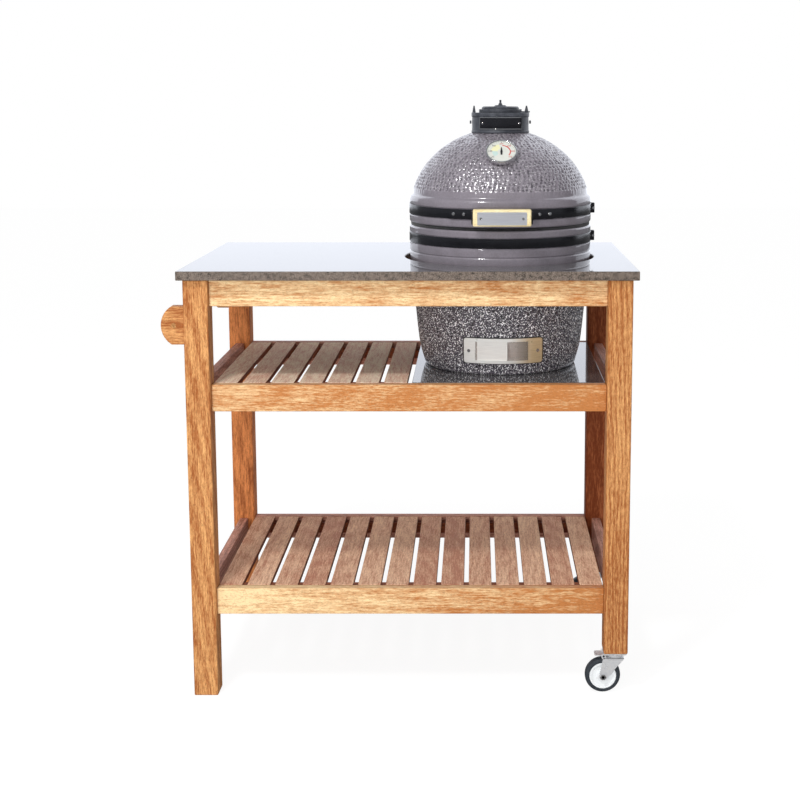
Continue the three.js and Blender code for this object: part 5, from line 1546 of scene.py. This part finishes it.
def makeGrates():
    bottom = shell["floor"] + fire["floor"]
    disc = rod(fire["grate"], fire["grateThickness"], 1.2, 64)
    last = fullTurn * (1 - 1 / fire["grateHoles"])
    spots = [(0, 0)] + arcPoints(fire["grateCircle"], (0, 0), 0, last, fire["grateHoles"] - 1)
    holes = [placed(rod(fire["grateHole"], 20, 0, 24), (x, y, -5)) for x, y in spots]
    disc = placed(cutAway(disc, joined(holes)), (grillX, 0, grillFoot + bottom))
    makePiece("fireGrate", [disc], ["castDark"], "root", ["fire_grate"])
    bottom = fire["height"] + fire["ringHeight"]
    top = bottom + fire["gridHeight"]
    radius = fireRadius - fire["gridInset"]
    ease = fire["barEase"]
    shapes = [ringOf((radius - fire["bar"], radius), (bottom, top), (ease, ease), 3, 96)]
    half = fire["bar"] / 2
    for k in range(fire["bars"]):
        x = ((k + 1) / (fire["bars"] + 1)) * 2 * radius - radius
        reach = math.sqrt(radius ** 2 - x ** 2) - half
        shapes.append(roundBox((x - half, -reach, bottom), (x + half, reach, top), ease))
    shapes.append(roundBox((-radius + half, -half, bottom + 0.5), (radius - half, half, top - 0.5), 1.2))
    for shape in shapes:
        placed(shape, grillAt)
    makePiece("cookingGrid", shapes, ["castDark"], "root", ["cooking_grid"])


makeFireBox()
makeGrates()
print("inner pieces made")


# Castors with a swivel race, fork, wheel, axle and brake
castor = {"wheel": 40, "width": 24, "trail": 27, "axle": 4, "axleHead": 7, "axleHeadThickness": 4,
    "mountThickness": 3, "mountCorner": 5, "race": 20, "crown": 3, "crownGap": 1.5, "leg": 2.5, "legGap": 2,
    "legEnd": 9, "lugFoot": 3, "brakePin": 3, "brakeTrail": 26, "brakeThickness": 2, "brakeLength": 20,
    "brakeLift": 3.5, "boltSpread": 36, "boltRadius": 3.4, "boltHeight": 2.2,
    "tyre": [(30, -11, 0.5), (33.5, -12, 1), (37.5, -10.5, 2), (40, -6, 3)],
    "core": [(30, -11, 0), (27.5, -11.4, 0.5), (26.8, -10.2, 0.3), (25.8, -11, 0.4), (23, -9, 1),
        (14.5, -9, 1), (13, -11.6, 0.8), (4.3, -11.6, 0.5)],
    "raceProfile": [(0, 0, 0), (17, 0, 0.8), (20, 3, 2), (20, 5, 1), (17.5, 6, 0.6), (19, 8.5, 1)]}


def makeWheel(end, at):
    shapes = [lathe(mirrored(castor["tyre"]), 4, 72, True)]
    shapes.append(painted(lathe(mirrored(castor["core"]), 3, 72, True), 1))
    for shape in shapes:
        placed(shape, at, toY)
    makePiece(f"castorWheel.{end}", shapes, ["rubber", "wheelPlastic"], f"{end}_wheel",
        [f"castor_{end}_wheel"])


def makeFork(end, swivel):
    inner = castor["width"] / 2 + castor["legGap"]
    outer = inner + castor["leg"]
    crownBottom = 2 * castor["wheel"] + castor["crownGap"]
    crownTop = crownBottom + castor["crown"]
    trail = castor["trail"]
    brakeZ = crownTop + castor["brakeLift"]
    shapes = [roundBox((-trail, -outer, crownBottom), (castor["race"], outer, crownTop), 0.9)]
    back = -castor["brakeTrail"]
    for far in (-inner, outer):
        points = arcPoints(castor["legEnd"], (-trail, castor["wheel"]), 0, fullTurn, 24)[:-1]
        points += [(-trail, crownTop - 0.2), (castor["race"], crownTop - 0.2), (castor["race"], crownBottom)]
        shapes.append(placed(hullPlate(points, castor["leg"], 0.5), (0, far, 0), toFront))
        points = arcPoints(castor["brakePin"] + castor["leg"], (back, brakeZ), 0, fullTurn, 20)[:-1]
        points += [(back - castor["lugFoot"], crownBottom), (back + castor["lugFoot"], crownBottom)]
        shapes.append(placed(hullPlate(points, castor["leg"], 0.4), (0, far, 0), toFront))
    for shape in shapes:
        placed(shape, swivel)
    makePiece(f"castorFork.{end}", shapes, ["zincPlate"], f"{end}_fork", [f"castor_{end}_fork"])
    thick = castor["axleHeadThickness"]
    reach = outer + seatGap + thick
    shapes = [placed(rod(castor["axle"], 2 * reach, 0.6, 24), (0, -reach, 0), toY)]
    shapes.append(placed(hexHead(castor["axleHead"], thick), (0, -outer - seatGap, 0), toFront))
    shapes.append(placed(hexHead(castor["axleHead"], thick), (0, outer + seatGap, 0), toY))
    for shape in shapes:
        placed(shape, swivel + Vector((-trail, 0, castor["wheel"])))
    makePiece(f"castorAxle.{end}", shapes, ["polishedSteel"], f"{end}_fork", [f"castor_{end}_axle"])
    half = inner - seatGap
    length = castor["brakeLength"]
    pedal = plate(roundedRectangle(back - length, back, -half, half, 4), castor["brakeThickness"], 0.5)
    pin = placed(rod(castor["brakePin"], 2 * outer, 0.5, 20), (back, -outer, brakeZ), toY)
    shapes = [placed(pedal, (0, 0, brakeZ)), pin]
    for k in (1, 2, 3):
        x = back - length + 3 * k
        shapes.append(roundBox((x - 0.6, -half + 4, brakeZ + 1.6), (x + 0.6, half - 4, brakeZ + 2.5), 0.3))
    for shape in shapes:
        placed(shape, swivel)
    makePiece(f"castorBrake.{end}", shapes, ["zincPlate"], f"{end}_brake", [f"castor_{end}_brake"])


def makeMount(end, swivel):
    low, high = boxOf(f"castor_{end}_mount")
    thick = castor["mountThickness"]
    outline = roundedRectangle(low[0], high[0], low[1], high[1], castor["mountCorner"])
    flange = placed(plate(outline, thick, 0.5), (0, 0, high[2] - thick))
    top = high[2] - 2
    corners = lifted(castor["raceProfile"], low[2]) + [(castor["race"] - 5, top, 0), (0, top, 0)]
    shapes = [flange, placed(lathe(corners, 4, 64), (swivel.x, swivel.y, 0))]
    half = castor["boltSpread"] / 2
    flip = Matrix.Rotation(math.pi, 4, "X")
    for x in (swivel.x - half, swivel.x + half):
        for y in (swivel.y - half, swivel.y + half):
            head = hexHead(castor["boltRadius"], castor["boltHeight"])
            shapes.append(placed(head, (x, y, high[2] - thick), flip))
    makePiece(f"castorMount.{end}", shapes, ["zincPlate"], "root", [f"castor_{end}_mount"])


def makeCastors():
    for end in ("front", "rear"):
        low, high = boxOf(f"castor_{end}_mount")
        swivel = Vector(((low[0] + high[0]) / 2, (low[1] + high[1]) / 2, 0))
        makeWheel(end, swivel + Vector((-castor["trail"], 0, castor["wheel"])))
        makeFork(end, swivel)
        makeMount(end, swivel)


makeCastors()
print("castors made")
